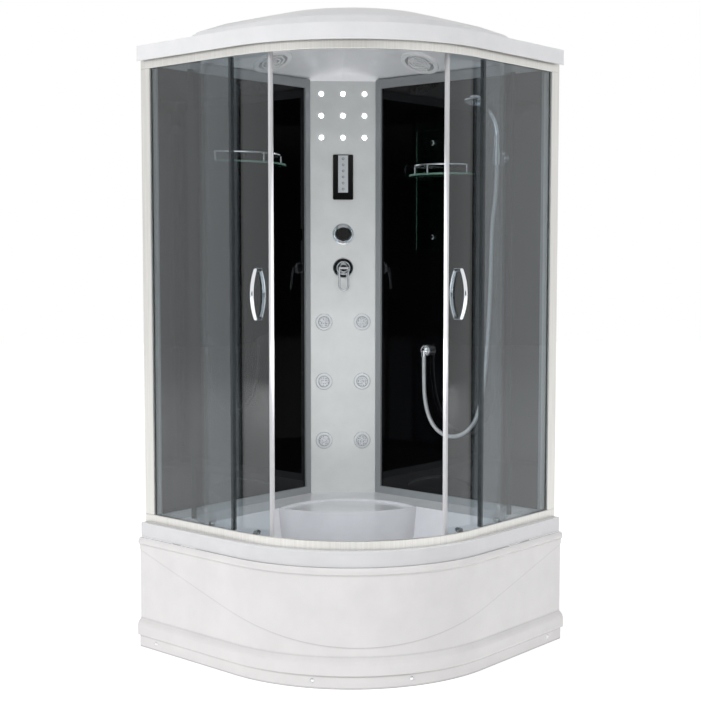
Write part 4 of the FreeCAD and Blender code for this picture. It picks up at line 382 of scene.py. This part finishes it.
# ---------------------------------------------------------------- hose
HOSE_POINTS = [
    (0.2800, 0.2628, 0.925), (0.2800, 0.2628, 0.863), (0.2807, 0.2493, 0.770),
    (0.2998, 0.2203, 0.690), (0.3401, 0.1730, 0.650), (0.3903, 0.1214, 0.655),
    (0.4327, 0.0789, 0.700), (0.4554, 0.0563, 0.785), (0.4681, 0.0436, 0.920),
    (0.4759, 0.0358, 1.080), (0.4801, 0.0315, 1.250), (0.4822, 0.0294, 1.395),
    (0.4950, 0.0181, 1.510), (0.4950, 0.0181, 1.590),
]


def make_hose():
    """Round tube along the hose's own line, its caps closed and its length kept in a UV map."""
    curve = bpy.data.curves.new("shower_hose_line", "CURVE")
    curve.dimensions = "3D"
    curve.resolution_u = 12
    spline = curve.splines.new("NURBS")
    spline.points.add(len(HOSE_POINTS) - 1)
    for point, place in zip(spline.points, HOSE_POINTS):
        point.co = (*place, 1)
    spline.order_u = 3
    spline.use_endpoint_u = True
    line = bpy.data.objects.new("hose_centre", curve)
    bpy.context.scene.collection.objects.link(line)
    mesh = bpy.data.meshes.new_from_object(line)
    path = [tuple(vertex.co) for vertex in mesh.vertices]
    bpy.data.meshes.remove(mesh)
    bpy.data.objects.remove(line)
    tube = bmesh.new()
    rings = []
    across = Vector((1, 0, 0))
    travelled = 0.0
    reached = []
    for index, here in enumerate(path):
        here = Vector(here)
        before = Vector(path[max(index - 1, 0)])
        after = Vector(path[min(index + 1, len(path) - 1)])
        heading = (after - before).normalized()
        across = (across - heading * across.dot(heading)).normalized()
        up = heading.cross(across)
        if index:
            travelled += (here - Vector(path[index - 1])).length
        reached.append(travelled)
        ring = []
        for side in range(HOSE_SIDES):
            turn = 2 * math.pi * side / HOSE_SIDES
            ring.append(tube.verts.new(here + (across * math.cos(turn) + up * math.sin(turn))
                                       * HOSE_DIAMETER / 2))
        rings.append(ring)
    layer = tube.loops.layers.uv.new("along")
    for index, (low, high) in enumerate(zip(rings, rings[1:])):
        for side in range(HOSE_SIDES):
            other = (side + 1) % HOSE_SIDES
            face = tube.faces.new((low[side], low[other], high[other], high[side]))
            face.smooth = True
            for loop, at, turn in zip(face.loops, (index, index, index + 1, index + 1),
                                      (side, side + 1, side + 1, side)):
                loop[layer].uv = (reached[at], turn / HOSE_SIDES)
    for ring in (rings[0][::-1], rings[-1]):
        tube.faces.new(ring)
    mesh = bpy.data.meshes.new("shower_hose_wound")
    tube.to_mesh(mesh)
    tube.free()
    piece = bpy.data.objects.new("shower_hose_wound", mesh)
    bpy.context.scene.collection.objects.link(piece)
    piece.data.materials.append(MATERIALS["hose_steel"])
    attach(piece, "cabin")
    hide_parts("shower_hose")
    return piece


make_hose()


# ---------------------------------------------------------------- pieces from the frame
def dress(node):
    """A piece of a node's own form: facets merged, old normals cleared, curved faces smooth."""
    piece = bpy.data.objects.new(node + "_piece", nodes[node].data.copy())
    bpy.context.scene.collection.objects.link(piece)
    piece.data.materials.clear()
    piece.data.materials.append(LOOKS.get(node, MATERIALS[slot_of_node[node]]))
    pick(piece)
    bpy.ops.object.mode_set(mode="EDIT")
    bpy.ops.mesh.select_all(action="SELECT")
    bpy.ops.mesh.remove_doubles(threshold=MERGE_REACH)
    bpy.ops.mesh.dissolve_limited(angle_limit=math.radians(FLAT_ANGLE))
    bpy.ops.object.mode_set(mode="OBJECT")
    bpy.ops.mesh.customdata_custom_splitnormals_clear()
    bpy.ops.object.shade_smooth_by_angle(angle=math.radians(SMOOTH_ANGLE))
    even = piece.modifiers.new("flat_faces_lead", "WEIGHTED_NORMAL")
    even.mode = "FACE_AREA_WITH_ANGLE"
    even.keep_sharp = True
    apply_all(piece)
    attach(piece, body_of_node[node])
    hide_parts(node)
    return piece


for name in sorted(nodes):
    if name != "shower_hose":
        dress(name)

# ---------------------------------------------------------------- floor, backdrop and light
bpy.ops.mesh.primitive_plane_add(size=FLOOR_SIDE, location=(0, 0, 0))
floor = bpy.context.object
floor.name = "studio_floor"
paper = bpy.data.materials.new("studio_paper")
paper.use_nodes = True
tree = paper.node_tree
sheen = tree.nodes["Principled BSDF"]
sheen.inputs["Base Color"].default_value = from_hex("F2F2F2")
sheen.inputs["Roughness"].default_value = 0.9
glow = add(tree, "ShaderNodeEmission", Color=(1, 1, 1, 1), Strength=PAPER_GLOW)
ray = add(tree, "ShaderNodeLightPath")
direct = add(tree, "ShaderNodeMath", {0: ray.outputs["Is Camera Ray"],
                                      1: ray.outputs["Is Glossy Ray"]}, operation="MAXIMUM")
lit = add(tree, "ShaderNodeAddShader", {0: sheen.outputs["BSDF"], 1: glow.outputs["Emission"]})
shown = add(tree, "ShaderNodeMixShader", {"Fac": direct.outputs["Value"],
                                          1: sheen.outputs["BSDF"], 2: lit.outputs["Shader"]})
tree.links.new(shown.outputs["Shader"], tree.nodes["Material Output"].inputs["Surface"])
floor.data.materials.append(paper)

world = bpy.data.worlds.new("studio")
bpy.context.scene.world = world
world.use_nodes = True
tree = world.node_tree
soft = tree.nodes["Background"]
soft.inputs["Color"].default_value = (1, 1, 1, 1)
soft.inputs["Strength"].default_value = ROOM_LIGHT
path_kind = add(tree, "ShaderNodeLightPath")
# The room behind the camera is dark in mirrored rays, which gives the chrome its contrast.
heading = add(tree, "ShaderNodeTexCoord")
offset = add(tree, "ShaderNodeVectorMath", {0: heading.outputs["Generated"]}, operation="SUBTRACT")
offset.inputs[1].default_value = DARK_ROOM_HEADING
spread = add(tree, "ShaderNodeVectorMath", {0: offset.outputs["Vector"]}, operation="DIVIDE")
spread.inputs[1].default_value = DARK_ROOM_SPREAD
reach = add(tree, "ShaderNodeVectorMath", {0: spread.outputs["Vector"]}, operation="LENGTH")
room = add(tree, "ShaderNodeMapRange", {"Value": reach.outputs["Value"]},
           interpolation_type="SMOOTHSTEP", From_Min=DARK_ROOM_CORE, From_Max=DARK_ROOM_EDGE,
           To_Min=1.0, To_Max=0.0)
mirrored = add(tree, "ShaderNodeMath", {0: room.outputs["Result"],
                                        1: path_kind.outputs["Is Glossy Ray"]}, operation="MULTIPLY")
tone = add(tree, "ShaderNodeMixRGB", {"Fac": mirrored.outputs["Value"]})
tone.inputs["Color1"].default_value = (1, 1, 1, 1)
tone.inputs["Color2"].default_value = from_hex("1A1B1D")
bright = add(tree, "ShaderNodeBackground", {"Color": tone.outputs["Color"]}, Strength=1.0)
first = add(tree, "ShaderNodeMath", {0: path_kind.outputs["Is Camera Ray"],
                                     1: path_kind.outputs["Is Glossy Ray"]}, operation="MAXIMUM")
seen = add(tree, "ShaderNodeMath", {0: first.outputs["Value"],
                                    1: path_kind.outputs["Is Transmission Ray"]}, operation="MAXIMUM")
chosen = add(tree, "ShaderNodeMixShader", {"Fac": seen.outputs["Value"],
                                           1: soft.outputs["Background"],
                                           2: bright.outputs["Background"]})
tree.links.new(chosen.outputs["Shader"], tree.nodes["World Output"].inputs["Surface"])


def lamp(name, place, aim, width, height, power):
    """A soft box that lights diffuse surfaces; polished ones mirror the even studio instead."""
    bpy.ops.object.light_add(type="AREA", location=place)
    light = bpy.context.object
    light.name = name
    light.data.shape = "RECTANGLE"
    light.data.size = width
    light.data.size_y = height
    light.data.energy = power
    light.visible_camera = False
    light.visible_glossy = False
    light.rotation_euler = (Vector(aim) - Vector(place)).to_track_quat("-Z", "Y").to_euler()
    return light


lamp("key_softbox", (-7.4, -5.2, 3.4), (0, 0, 1.0), 3.2, 3.2, 450)
lamp("fill_softbox", (7.4, -5.2, 2.8), (0, 0, 1.0), 3.2, 3.2, 285)
lamp("doorway_fill", (0.0, -0.46, 1.3), (0, 0.5, 1.2), 0.5, 0.8, 3.1)
lamp("basin_fill", (0.0, -0.4, 1.05), (0, 0.12, 0.1), 0.5, 0.3, 2.6)

scene = bpy.context.scene
scene.view_settings.view_transform = "Standard"
